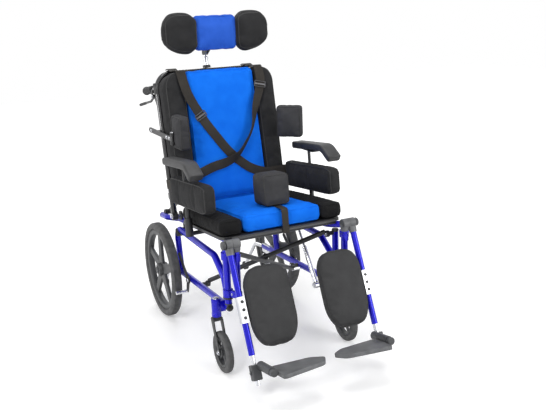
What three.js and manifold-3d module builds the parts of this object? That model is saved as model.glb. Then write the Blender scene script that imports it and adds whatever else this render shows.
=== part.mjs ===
// Tilt in space wheelchair with a reclining back, elevating leg rests and postural supports.
// Millimetres, +Z up, the chair faces -Y. Right is +X, the viewer's right from the front.
import * as THREE from 'three';
import { mergeVertices } from 'three/addons/utils/BufferGeometryUtils.js';
import Module from 'manifold-3d';

const wasm = await Module();
wasm.setup();

// Clearances and mesh fineness
const mate = 0.3;
const overrun = 3;
const tubeSides = 8;
const pinSides = 8;
const bendSteps = 3;
const plainCells = [4, 4, 4];
const tallCells = [4, 4, 8];

// Frame stock
const frameTube = 12.5;
const railX = 221.5;
const frontPostY = -610;
const seatRailX = 195;

// Rear wheels
const rearWheelX = 271.5;
const rearRadius = 200;
const rearTyreWidth = 42;
const tyreDepth = 28;
const rimRadius = rearRadius - tyreDepth;
const rimDepth = 20;
const rimWidth = 25;
const hubRadius = 28;
const hubWidth = 44;
const axleRadius = 6;
const rearSpokes = 5;
const spokeRootWidth = 46;
const spokeTipWidth = 30;
const spokeThickness = 14;
const rearSegments = 32;
const tyreDepthShares = [0, 0.55, 1, 1, 0.55, 0];
const tyreWidthShares = [-0.3, -0.5, -0.24, 0.24, 0.5, 0.3];

// Caster wheels, forks and stem housings
const casterX = 255;
const casterTrail = 45;
const casterRadius = 76;
const casterTyreWidth = 26;
const casterRimRadius = 54;
const casterRimInner = 46;
const casterRimWidth = 20;
const casterHubRadius = 15;
const casterHubWidth = 26;
const casterSpokes = 5;
const casterSpokeWidth = 12;
const casterSpokeThickness = 10;
const casterSegments = 18;
const casterAxleRadius = 5;
const stemBack = 35;
const stemY = frontPostY + stemBack;
const casterY = stemY - casterTrail;
const stemRadius = 8;
const stemTopZ = 256;
const housingRadius = 18;
const housingBottomZ = 197;
const housingTopZ = 265;
const forkLegGap = 2;
const forkLegThickness = 4;
const forkLegTopWidth = 30;
const forkLegTipRadius = 10;
const crownThickness = 9;
const crownTopZ = 192;
const crownCollarRadius = 14;

// Base frame
const upperRailZ = 400;
const rearTopY = -83;
const rearFootY = -107;
const rearBend = 45;
const curveStartBack = 110;
const curveKneeBack = 28;
const curveEndBack = 4;
const curveStartY = frontPostY + curveStartBack;
const curveKneeY = frontPostY + curveKneeBack;
const curveKneeZ = 345;
const curveEndY = frontPostY + curveEndBack;
const curveEndZ = 285;
const frontPostTopZ = 455;
const lowerRearY = 30;
const lowerRearLift = 5;
const lowerRearZ = rearRadius + lowerRearLift;
const lowerFrontZ = 238;
const axlePlateLength = 96;
const axlePlateHeight = 40;
const axlePlateThickness = 14;
const axleBossRadius = 13;
const axleCapRadius = 11;
const axleCapLength = 4;

// Tilt pivot and tilt gas spring
const pivotY = -120;
const pivotZ = 388;
const pivotPinRadius = 6;
const pivotBossRadius = 17;
const pivotBossInnerX = 201;
const pivotPlateThickness = 7;
const pivotPlateInnerX = 192;
const pivotHeadRadius = 11;
const pivotHeadThickness = 4;
const springX = 165;
const springFootBack = 50;
const springFootY = frontPostY + springFootBack;
const springFootZ = 225;
const springHeadY = -400;
const springHeadZ = 452;
const springBodyRadius = 9;
const springBodyLength = 160;
const springRodRadius = 5;
const springRodLength = 245;
const springBoreStart = 25;
const eyeWidth = 20;
const footEyeRadius = 12;
const headEyeRadius = 14.5;
const headEyeHole = 9.5;
const headPinRadius = 3.5;
const footPinRadius = 6;
const pinHeadThickness = 4;

// Crossed brace
const braceTopZ = 440;
const braceFootY = -317;
const braceFootZ = 222.5;
const braceTube = 9;
const braceLugRadius = 12.5;
const braceLugInnerX = 180;
const braceLugOuterX = 193;
const braceStubRadius = 8;
const braceStubEndX = 182;
const bracePass = 1.2;
const braceBoltRadius = 5;
const braceNutRadius = 8;
const braceNutThickness = 5;

// Anti-tip leg
const antiTipX = 200;
const antiTipTopY = 80;
const antiTipTopLift = 3;
const antiTipTopZ = lowerRearZ + antiTipTopLift;
const antiTipEndY = 205;
const antiTipEndZ = 62;
const antiTipTube = 8;
const antiTipBend = 25;
const antiTipRollerRadius = 20;
const antiTipRollerWidth = 20;

// Wheel lock
const lockPivotAhead = 35;
const lockPivotY = -rearRadius - lockPivotAhead;
const lockPinRadius = 5;
const lockPinEndX = 246.5;
const lockBossRadius = 14;
const lockPlateInnerX = 235.5;
const lockPlateThickness = 7;
const lockShoeAhead = 18;
const lockShoeY = -rearRadius - lockShoeAhead;
const lockShoeZ = 167;
const lockShoeRadius = 7;
const lockShoeEndX = 288;
const lockShoeStartX = 236;
const lockLeverBack = 60;
const lockLeverY = -rearRadius + lockLeverBack;
const lockLeverZ = 305;
const lockGripShare = 0.7;
const lockLeverWidth = 12;

// Seat slope frame: its origin is the axis of the rail's rear end
const seatRearY = 90;
const seatRearZ = 410;
const seatSlopeRiseShare = 0.0931;
const seatSlope = Math.atan(seatSlopeRiseShare);
const railRearX = 225;
const railBendEndY = 20;
const railBendStartY = -50;
const railFrontY = -600;
const postX = 236;
const postY = -650;
const postBottomZ = 270;
const railBend = 50;
const postCapHeight = 8;

// Back hinge and recline gas springs
const hingeY = -91;
const hingeZ = 450;
const backLean = THREE.MathUtils.degToRad(10.8);
const hingePlateInnerX = 199;
const hingePlateThickness = 8;
const hingePlateRadius = 18;
const hingePinRadius = 7;
const hingePinHeadRadius = 12;
const caneX = 230;
const caneLugRadius = 17;
const caneFoot = 14;
const caneLugHalf = 11.5;
const reclineX = 200;
const reclineFootY = 60;
const reclineFootZ = 430;
const reclineHeadUp = 70;
const reclineBodyRadius = 10;
const reclineBodyLength = 95;
const reclineRodRadius = 4.5;
const reclineRodLength = 102;
const reclineBoreStart = 16;
const reclineEyeRadius = 11;
const reclineEyeHole = 7;
const reclineEyeWidth = 21;
const reclineHeadWidth = 12;
const reclineLugRadius = 12;

// Seat pan and cushions
const panHalf = 238;
const panRear = 316;
const panFront = 728;
const panThickness = 12;
const panCorner = 30;
const panBarRadius = 10;
const seatHalf = 245;
const seatRear = 316;
const seatFront = 733;
const seatCentreHalf = 154.7;
const seatCentreHeight = 64;
const seatBolsterHeight = 60;
const seatCrown = 5;
const seatDrawIn = 5;
const seatEndPower = 4;
const seatBolsterCells = [4, 6, 4];
const seatCentreCells = [6, 6, 4];
const seatCorner = 21;
const seatTieDepth = 14;
const seatTieHeight = 40;
const seatTieLap = 30;

// Side pads and armrests
const sidePadInner = 226;
const sidePadOuter = 276;
const sidePadRear = 302;
const sidePadFront = 676;
const sidePadLow = 96;
const sidePadHigh = 204;
const sidePadCorner = 16;
const sidePadSeamDepth = 3;
const sidePadSeamWidth = 9;
const sidePadSeamShares = [-0.46, 0.46];
const sidePadEdgeShare = 0.05;
const sidePadCells = [4, 8, 4];
const sideBarRadius = 8;
const armPostX = 264;
const armPostAlong = 458;
const armPostRadius = 6;
const armPostLow = 2;
const socketWall = 2;
const socketLow = -10;
const socketHigh = 190;
const socketShoeWall = 6;
const socketShoeHigh = 60;
const armPadLap = 14;
const armPadOverhang = 42;
const armPadInner = armPostX - armPadLap;
const armPadOuter = armPostX + armPadOverhang;
const armPadRear = 338;
const armPadFront = 633;
const armPadNose = 59;
const armPadBend = armPadFront - armPadNose;
const armPadTop = 283;
const armPadThickness = 28;
const armPadDrop = 50;
const armPadBevel = 4;
const armPadNoseShare = 0.333;

// Pommel
const pommelWidth = 100;
const pommelRear = 592;
const pommelFront = 690;
const pommelHeight = 112;
const pommelCorner = 12;
const pommelWaistShare = 0.04;
const strapWidth = 26;
const strapThickness = 3;
const strapRear = 640;
const strapLow = 6;
const strapSteps = 10;
const strapTopShares = [0, 0.3, 0.65];
const strapDropShares = [0.2, 0.6, 1];

// Back hoop, push handles and levers
const hoopTop = 575;
const hoopCorner = 62;
const handleUp = 518;
const handleTube = 9;
const handleKneeX = 224;
const handleKneeY = 80;
const handleKneeZ = 950;
const handleEndX = 215;
const handleEndY = 212;
const handleEndZ = 932;
const handleBend = 30;
const handleClampRadius = 17;
const handleClampLength = 44;
const gripLength = 118;
const gripWall = 7;
const gripEndRadius = 18;
const gripEndLength = 6;
const leverPivotY = 72;
const leverPivotZ = 922;
const leverPinRadius = 4;
const leverX = 227;
const leverEarX = 234;
const leverBossRadius = 9;
const leverBossHalf = 5;
const leverKneeY = 120;
const leverKneeZ = 897;
const leverTipY = 285;
const leverTipZ = 866;
const leverRadius = 5;
const leverBend = 30;
const cableRadius = 2.5;
const cableBack = 20.5;
const cableHigh = 425;
const cableLow = 96;
const cableBend = 22;
const cableSides = 6;
const releaseHeadLow = 70;
const releaseHeadRadius = 9;

// Back cushion, in the back frame: up the cane, and forward of it
const backLow = 50;
const backHigh = 570;
const backInnerLow = 154;
const backInnerHigh = 147;
const backOuter = 237;
const backDepth = 118;
const backCrown = 5;
const backCorner = 24;
const backTopCorner = 52;
const backingDepth = 17;
const backingLap = 26;
const backCentreDepth = 120;
const backCentreCells = [5, 4, 8];

// Lateral supports
const lateralUp = 341;
const lateralBarInner = 246.3;
const lateralBarThickness = 8;
const lateralBarHeight = 20;
const lateralBarZ = 785;
const lateralBarRearY = 95;
const lateralHingeY = -200;
const lateralHingeX = 250.3;
const lateralPinRadius = 5;
const lateralPinHalf = 25;
const lateralClampWall = 4;
const lateralClampLength = 26;
const lateralPadLength = 104;
const lateralPadHeight = 122;
const lateralPadThickness = 36;
const lateralPadCorner = 13;
const lateralPadInset = 29;
const lateralPadForward = 15;
const lateralPadRise = 22;
const lateralEyeWall = 4;
const lateralEyeHeight = 11;
const lateralFlare = THREE.MathUtils.degToRad(45);
const lateralCrown = 4;

// Harness: its routes are shares of the hip place across and of the cushion's top
const harnessWidth = 38;
const harnessThickness = 3;
const harnessSteps = 22;
const harnessCrossShare = 0.8;
const shoulderX = 166;
const hipX = 196;
const hipUp = 132;
const sliderHalf = 24;
const sliderThickness = 8;
const leftSliderTurn = 0.5;
const rightSliderTurn = -0.2;
const leftSliderShares = [-0.505, 0.649];
const rightSliderShares = [0.806, 0.842];
const leftRouteShares = [
  [-0.827, 0.912], [-0.74, 0.809], [-0.505, 0.649], [-0.327, 0.553], [-0.066, 0.437],
  [0.173, 0.356], [0.418, 0.295], [0.714, 0.254],
];
const rightRouteShares = [
  [0.847, 0.912], [0.806, 0.842], [0.633, 0.702], [0.474, 0.558], [0.25, 0.46], [0.02, 0.407],
  [-0.219, 0.377], [-0.495, 0.333], [-0.765, 0.277],
];

// Headrest
const headPostBack = 24;
const headPostLow = 470;
const headPostHigh = 632;
const headPostRadius = 9;
const headPivotUp = 655;
const headSocketLow = 548;
const headSocketHigh = 600;
const headSocketWall = 6;
const headLugRadius = 11;
const headLugHalf = 5;
const headPinRadiusX = 4;
const headCheekThickness = 4;
const headCentreHalf = 88;
const headCentreBottomZ = 1101;
const headCentreTopZ = 1238;
const headCentreFrontY = -90;
const headCentreBackY = -38;
const headCentreCorner = 18;
const headWingTipX = 225;
const headWingBottomZ = 1090;
const headWingTopZ = 1250;
const headWingFrontY = -112;
const headWingBackY = -26;
const headWingCorner = 34;
const headWingTipDropShare = 0.42;
const headWingThinShare = 0.3;
const headWingSweep = 12;
const headWingCells = [5, 4, 5];
const headCentreCells = [5, 4, 6];
const headCentreCrown = 4;
const headCheekShare = 0.6;
const headShellHalf = 112;
const headShellBackY = -22;
const headShellBottomZ = 1122;
const headShellTopZ = 1216;

// Swing-away hangers and elevating leg rests
const hangerX = 214;
const hangerY = -690;
const hangerTube = 11;
const hangerBottomZ = 288;
const collarWall = 4.5;
const collarHeight = 26;
const stopHeight = 7;
const collarLowZ = 296;
const collarHighZ = 432;
const collarWebHalf = 6;
const kneeZ = 495;
const kneeLugRadius = 18;
const kneeLugInnerX = 214;
const kneeLugOuterX = 229.5;
const kneePinRadius = 6;
const kneeKnobRadius = 15;
const kneeKnobThickness = 14;
const legX = 241;
const legTube = 11;
const legLean = THREE.MathUtils.degToRad(24.45);
const legTop = 8;
const legLength = 372;
const legDiscOuterX = 252.3;
const sleeveTop = 177;
const sleeveLength = 88;
const sleeveHalf = 15;
const sleeveThin = 12;
const footTube = 8;
const footTubeTop = 232;
const footBoreReach = 24;
const footTubeBottom = 472;
const calfInner = 55;
const calfOuter = 227;
const calfTop = 86;
const calfLength = 274;
const calfThickness = 42;
const calfForward = 12;
const calfCorner = 20;
const calfTopRound = 62;
const calfBottomRound = 80;
const calfRoundShare = 0.75;
const calfCrown = 5;
const calfPlateThickness = 4;
const calfPlateTop = 200;
const calfPlateLength = 44;
const calfPlateInner = 112;

// Footplates
const clampTop = 402;
const clampLength = 52;
const clampHalf = 17;
const barrelX = 222;
const barrelY = -888;
const barrelZ = 130;
const platePitch = THREE.MathUtils.degToRad(11);
const barrelRadius = 15;
const barrelPinRadius = 7;
const barrelRootLength = 16;
const barrelRootBack = 24;
const barrelSleeveEnd = 72;
const barrelKnobEnd = 90;
const barrelKnobRadius = 14;
const plateGap = 17;
const plateTip = 207;
const plateDepth = 118;
const plateThickness = 14;
const plateDrop = 3;
const plateSetback = 4;
const plateOutlineShares = [[0, 0], [0.76, 0.09], [1, 0.36], [0.86, 0.74], [0, 1]];
const plateBevel = 2.5;
const plateNeckLap = 12;

const finishes = {
  candyBlue: { color: 0x1616a8, roughness: 0.25, metalness: 0.6 },
  blackPaint: { color: 0x1c1c1e, roughness: 0.45, metalness: 0.3 },
  steel: { color: 0xc8c8cc, roughness: 0.25, metalness: 1 },
  rubber: { color: 0x3c3c3e, roughness: 0.85, metalness: 0 },
  plastic: { color: 0x404044, roughness: 0.55, metalness: 0 },
  blueCloth: { color: 0x1a78f0, roughness: 0.9, metalness: 0 },
  headBlue: { color: 0x2457c8, roughness: 0.9, metalness: 0 },
  blackCloth: { color: 0x38383a, roughness: 0.95, metalness: 0 },
};

const at = (x, y, z) => new THREE.Vector3(x, y, z);
const mix = THREE.MathUtils.lerp;

// A path of straight runs with round bends, with a station only where the direction changes
class BentPath extends THREE.Curve {
  constructor(corners, bend = 0) {
    super();
    this.stations = [];
    const last = corners.length - 1;
    for (let i = 0; i <= last; i += 1) {
      const before = corners[Math.max(i - 1, 0)];
      const after = corners[Math.min(i + 1, last)];
      if (i === 0 || i === last) {
        const along = after.clone().sub(before).normalize();
        this.stations.push({ at: corners[i].clone(), along });
      } else {
        this.addBend(before, corners[i], after, bend);
      }
    }
  }

  addBend(before, corner, after, bend) {
    const arriving = corner.clone().sub(before).normalize();
    const leaving = after.clone().sub(corner).normalize();
    const turn = arriving.angleTo(leaving);
    const setback = bend * Math.tan(turn / 2);
    const start = corner.clone().addScaledVector(arriving, -setback);
    const axis = arriving.clone().cross(leaving).normalize();
    const outward = axis.clone().cross(arriving);
    const centre = start.clone().addScaledVector(outward, bend);
    for (let step = 0; step <= bendSteps; step += 1) {
      const angle = (turn * step) / bendSteps;
      const spoke = start.clone().sub(centre).applyAxisAngle(axis, angle);
      const along = arriving.clone().applyAxisAngle(axis, angle);
      this.stations.push({ at: centre.clone().add(spoke), along });
    }
  }

  get steps() {
    return this.stations.length - 1;
  }

  station(share) {
    return this.stations[Math.round(share * this.steps)];
  }

  getPointAt(share) {
    return this.station(share).at.clone();
  }

  getTangentAt(share) {
    return this.station(share).along.clone();
  }
}

// A webbing path that keeps its flat side towards given normals
class StrapPath extends THREE.Curve {
  constructor(stops, steps) {
    super();
    this.steps = steps;
    this.line = new THREE.CatmullRomCurve3(stops.map((stop) => stop.at), false, 'centripetal');
    this.facings = stops.map((stop) => stop.facing);
  }

  getPointAt(share) {
    return this.line.getPoint(share);
  }

  getTangentAt(share) {
    return this.line.getTangent(share);
  }

  facing(share) {
    const place = share * (this.facings.length - 1);
    const index = Math.min(Math.floor(place), this.facings.length - 2);
    return this.facings[index].clone().lerp(this.facings[index + 1], place - index).normalize();
  }

  computeFrenetFrames(segments) {
    const frames = { tangents: [], normals: [], binormals: [] };
    for (let i = 0; i <= segments; i += 1) {
      const tangent = this.getTangentAt(i / segments);
      const side = tangent.clone().cross(this.facing(i / segments)).normalize();
      frames.tangents.push(tangent);
      frames.normals.push(side.clone().cross(tangent));
      frames.binormals.push(side);
    }
    return frames;
  }
}

function polygon(radius, sides) {
  const points = [];
  for (let i = 0; i < sides; i += 1) {
    const angle = (2 * Math.PI * i) / sides;
    points.push(new THREE.Vector2(radius * Math.cos(angle), radius * Math.sin(angle)));
  }
  return points;
}

// The radius of a faceted bore that clears a pin of the given radius
function bore(pinRadius, sides = pinSides) {
  return (pinRadius + mate) / Math.cos(Math.PI / sides);
}

function tube(corners, radius, bend = 0, sides = tubeSides) {
  const path = new BentPath(corners, bend);
  const section = new THREE.Shape(polygon(radius, sides));
  return new THREE.ExtrudeGeometry(section, { steps: path.steps, extrudePath: path });
}

function rod(from, to, radius, sides = pinSides) {
  return tube([from, to], radius, 0, sides);
}

// A rod along X through a point of the side view
function crossRod(fromX, toX, y, z, radius, sides = pinSides) {
  return rod(at(fromX, y, z), at(toX, y, z), radius, sides);
}

function ring(from, to, outer, inner, sides = pinSides) {
  const path = new BentPath([from, to]);
  const section = new THREE.Shape(polygon(outer, sides));
  section.holes.push(new THREE.Path(polygon(inner, sides)));
  return new THREE.ExtrudeGeometry(section, { steps: path.steps, extrudePath: path });
}

function block(fromX, toX, fromY, toY, fromZ, toZ) {
  const geometry = new THREE.BoxGeometry(toX - fromX, toY - fromY, toZ - fromZ);
  return geometry.translate((fromX + toX) / 2, (fromY + toY) / 2, (fromZ + toZ) / 2);
}

// A plate along X whose outline is given in the side view as [y, z] points
function sidePlate(outline, fromX, toX, bevel = 0) {
  const shape = new THREE.Shape(outline.map(([y, z]) => new THREE.Vector2(y, z)));
  const depth = toX - fromX - 2 * bevel;
  const bevels = { bevelEnabled: bevel > 0, bevelSize: bevel, bevelOffset: -bevel };
  const settings = { depth, bevelThickness: bevel, bevelSegments: 1, ...bevels };
  const geometry = new THREE.ExtrudeGeometry(shape, settings);
  const turn = new THREE.Matrix4().makeBasis(at(0, 1, 0), at(0, 0, 1), at(1, 0, 0));
  return geometry.applyMatrix4(turn).translate(fromX + bevel, 0, 0);
}

// A plate along Z whose outline is given in plan as [x, y] points
function floorPlate(outline, fromZ, toZ, bevel = 0) {
  const shape = new THREE.Shape(outline.map(([x, y]) => new THREE.Vector2(x, y)));
  const depth = toZ - fromZ - 2 * bevel;
  const bevels = { bevelEnabled: bevel > 0, bevelSize: bevel, bevelOffset: -bevel };
  const settings = { depth, bevelThickness: bevel, bevelSegments: 1, ...bevels };
  return new THREE.ExtrudeGeometry(shape, settings).translate(0, 0, fromZ + bevel);
}

// A turned body about X: profile points are [radius, distance along X] from -X to +X outside
function turned(profile, segments, centreX, centreY, centreZ) {
  const points = profile.map(([radius, along]) => new THREE.Vector2(radius, along));
  const geometry = new THREE.LatheGeometry(points, segments);
  geometry.rotateY(Math.PI / segments);
  return geometry.rotateZ(-Math.PI / 2).translate(centreX, centreY, centreZ);
}

function welded(geometry) {
  const bare = geometry.clone();
  bare.deleteAttribute('normal');
  bare.deleteAttribute('uv');
  const merged = mergeVertices(bare);
  const kept = [];
  for (let i = 0; i < merged.index.count; i += 3) {
    const [a, b, c] = [0, 1, 2].map((corner) => merged.index.getX(i + corner));
    if (a !== b && b !== c && c !== a) kept.push(a, b, c);
  }
  merged.setIndex(kept);
  return merged;
}

function toSolid(geometry) {
  const body = welded(geometry);
  const vertProperties = Float32Array.from(body.attributes.position.array);
  const triVerts = Uint32Array.from(body.index.array);
  return new wasm.Manifold(new wasm.Mesh({ numProp: 3, vertProperties, triVerts }));
}

function toGeometry(solid) {
  const mesh = solid.getMesh();
  const geometry = new THREE.BufferGeometry();
  geometry.setAttribute('position', new THREE.BufferAttribute(mesh.vertProperties, 3));
  geometry.setIndex(new THREE.BufferAttribute(mesh.triVerts, 1));
  return geometry;
}

function joined(...pieces) {
  return toGeometry(pieces.map(toSolid).reduce((whole, piece) => whole.add(piece)));
}

function cut(body, ...cutters) {
  return toGeometry(cutters.map(toSolid).reduce((rest, piece) => rest.subtract(piece), toSolid(body)));
}

function mirrored(geometry) {
  const copy = welded(geometry);
  copy.scale(-1, 1, 1);
  for (let i = 0; i < copy.index.count; i += 3) {
    const first = copy.index.getX(i);
    copy.index.setX(i, copy.index.getX(i + 1));
    copy.index.setX(i + 1, first);
  }
  return copy;
}

// Station along one side of a padded block: two close to each edge, the rest spread evenly
const edgeShares = [0, 1 - Math.tan(Math.PI / 8), 1];

function padStation(index, cells, half, corner) {
  const last = edgeShares.length - 1;
  const flat = half - corner;
  if (index <= last) return edgeShares[index] * corner - half;
  if (index >= cells - last) return half - edgeShares[cells - index] * corner;
  return mix(-flat, flat, (index - last) / (cells - 2 * last));
}

// A padded block with round edges about the origin, then shaped vertex by vertex
function padded(size, corner, cellCounts, shapeVertex = () => {}) {
  const cells = cellCounts.map(Math.round);
  const geometry = new THREE.BoxGeometry(2, 2, 2, ...cells);
  const places = geometry.attributes.position;
  const half = size.map((length) => length / 2);
  for (let i = 0; i < places.count; i += 1) {
    const outer = at(0, 0, 0);
    const inner = at(0, 0, 0);
    for (let axis = 0; axis < 3; axis += 1) {
      const index = Math.round(((places.getComponent(i, axis) + 1) / 2) * cells[axis]);
      const place = padStation(index, cells[axis], half[axis], corner);
      const flat = half[axis] - corner;
      outer.setComponent(axis, place);
      inner.setComponent(axis, THREE.MathUtils.clamp(place, -flat, flat));
    }
    const vertex = inner.clone().add(outer.sub(inner).setLength(corner));
    shapeVertex(vertex, half);
    places.setXYZ(i, vertex.x, vertex.y, vertex.z);
  }
  return welded(geometry);
}

// How far a point lies inside a face, one at its middle and none at its edges
const swell = (place, half) => Math.max(0, 1 - (place / half) ** 2);

const seatMatrix = new THREE.Matrix4().makeRotationX(-seatSlope).setPosition(0, seatRearY, seatRearZ);
const backMatrix = new THREE.Matrix4().makeRotationX(-backLean).setPosition(0, hingeY, hingeZ);
const seatPoint = (x, forward, up) => at(x, -forward, up).applyMatrix4(seatMatrix);
const backPoint = (x, forward, up) => at(x, -forward, up).applyMatrix4(backMatrix);
const seatRailZ = (y) => seatRearZ + (seatRearY - y) * Math.tan(seatSlope);
const lowerRailZ = (y) => mix(lowerRearZ, lowerFrontZ, (lowerRearY - y) / (lowerRearY - frontPostY));

const chair = new THREE.Group();
const model = new THREE.Group();
chair.add(model);
const seatGroup = new THREE.Group();
seatGroup.position.set(0, seatRearY, seatRearZ);
seatGroup.rotation.x = -seatSlope;
model.add(seatGroup);
const backGroup = new THREE.Group();
backGroup.position.set(0, hingeY, hingeZ);
backGroup.rotation.x = -backLean;
model.add(backGroup);
const legGroup = new THREE.Group();
legGroup.position.set(0, hangerY, kneeZ);
legGroup.rotation.x = -legLean;
model.add(legGroup);

function addPart(parent, name, geometry, finish) {
  const mesh = new THREE.Mesh(welded(geometry), new THREE.MeshStandardMaterial(finish));
  mesh.name = name;
  parent.add(mesh);
}

function addPair(parent, name, geometry, finish) {
  addPart(parent, `${name}_right`, geometry, finish);
  addPart(parent, `${name}_left`, mirrored(geometry), finish);
}

// Rear wheels: a solid tyre on a moulded wheel with broad spokes
function rearTyre() {
  const facet = 1 / Math.cos(Math.PI / rearSegments);
  const profile = tyreDepthShares.map((share, i) => [
    (rimRadius + share * tyreDepth) * facet,
    tyreWidthShares[i] * rearTyreWidth,
  ]);
  return turned([...profile, profile[0]], rearSegments, rearWheelX, 0, rearRadius);
}

function spokeAround(count, rootRadius, tipRadius, rootWidth, tipWidth, thickness) {
  const spokes = [];
  for (let i = 0; i < count; i += 1) {
    const outline = [
      [rootRadius, -rootWidth / 2],
      [tipRadius, -tipWidth / 2],
      [tipRadius, tipWidth / 2],
      [rootRadius, rootWidth / 2],
    ];
    const spoke = sidePlate(outline, -thickness / 2, thickness / 2);
    spokes.push(spoke.rotateX((2 * Math.PI * i) / count + Math.PI / 2));
  }
  return spokes;
}

function wheelBody(rimOuter, rimInner, rimAcross, segments, hub, hubAcross, pin, spokes) {
  const rimProfile = [
    [rimInner, -rimAcross / 2],
    [rimOuter, -rimAcross / 2],
    [rimOuter, rimAcross / 2],
    [rimInner, rimAcross / 2],
    [rimInner, -rimAcross / 2],
  ];
  const rim = turned(rimProfile, segments, 0, 0, 0);
  const boss = ring(at(-hubAcross / 2, 0, 0), at(hubAcross / 2, 0, 0), hub, bore(pin));
  return joined(rim, boss, ...spokes);
}

function rearWheel() {
  const rimOuter = rimRadius / Math.cos(Math.PI / rearSegments) - mate;
  const rimInner = rimRadius - rimDepth;
  const reach = rimRadius - rimDepth / 2;
  const root = (hubRadius + bore(axleRadius)) / 2;
  const spokes = spokeAround(rearSpokes, root, reach, spokeRootWidth, spokeTipWidth, spokeThickness);
  const body = wheelBody(
    rimOuter, rimInner, rimWidth, rearSegments, hubRadius, hubWidth, axleRadius, spokes,
  );
  const across = hubWidth + 2 * overrun;
  const through = crossRod(-across / 2, across / 2, 0, 0, bore(axleRadius));
  return cut(body, through).translate(rearWheelX, 0, rearRadius);
}

addPair(model, 'rear_tyre', rearTyre(), finishes.rubber);
addPair(model, 'rear_wheel', rearWheel(), finishes.plastic);

// Caster wheels and forks
function casterWheel() {
  const facet = 1 / Math.cos(Math.PI / casterSegments);
  const depth = casterRadius - casterRimRadius;
  const outside = tyreDepthShares.map((share, i) => [
    (casterRimRadius + share * depth) * facet,
    tyreWidthShares[i] * casterTyreWidth,
  ]);
  const inside = [
    [casterRimInner, casterRimWidth / 2],
    [casterRimInner, -casterRimWidth / 2],
  ];
  const tread = turned([...outside, ...inside, outside[0]], casterSegments, 0, 0, 0);
  const hub = ring(
    at(-casterHubWidth / 2, 0, 0), at(casterHubWidth / 2, 0, 0), casterHubRadius, bore(casterAxleRadius),
  );
  const root = (casterHubRadius + bore(casterAxleRadius)) / 2;
  const reach = (casterRimInner + casterRimRadius) / 2;
  const spokes = spokeAround(
    casterSpokes, root, reach, casterSpokeWidth, casterSpokeWidth, casterSpokeThickness,
  );
  const across = casterHubWidth + 2 * overrun;
  const through = crossRod(-across / 2, across / 2, 0, 0, bore(casterAxleRadius));
  return cut(joined(tread, hub, ...spokes), through).translate(casterX, casterY, casterRadius);
}

function casterFork() {
  const legInner = casterHubWidth / 2 + forkLegGap;
  const legOuter = legInner + forkLegThickness;
  const legTopZ = crownTopZ - crownThickness / 2;
  const outline = [
    [stemY + forkLegTopWidth / 2, legTopZ],
    [stemY - forkLegTopWidth / 2, legTopZ],
    [casterY - forkLegTipRadius, casterRadius],
    [casterY - forkLegTipRadius / 2, casterRadius - forkLegTipRadius],
    [casterY + forkLegTipRadius / 2, casterRadius - forkLegTipRadius],
    [casterY + forkLegTipRadius, casterRadius],
  ];
  const legs = [
    sidePlate(outline, casterX + legInner, casterX + legOuter),
    sidePlate(outline, casterX - legOuter, casterX - legInner),
  ];
  const crown = block(
    casterX - legOuter, casterX + legOuter,
    stemY - forkLegTopWidth / 2, stemY + forkLegTopWidth / 2,
    crownTopZ - crownThickness, crownTopZ,
  );
  const collar = rod(
    at(casterX, stemY, crownTopZ - overrun), at(casterX, stemY, housingBottomZ - mate), crownCollarRadius,
  );
  const stem = rod(at(casterX, stemY, crownTopZ - overrun), at(casterX, stemY, stemTopZ), stemRadius);
  const capX = legOuter + axleCapLength;
  const axle = crossRod(casterX - capX, casterX + capX, casterY, casterRadius, casterAxleRadius);
  return joined(...legs, crown, collar, stem, axle);
}

addPair(model, 'caster_wheel', casterWheel(), finishes.rubber);
addPair(model, 'caster_fork', casterFork(), finishes.blackPaint);

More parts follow.
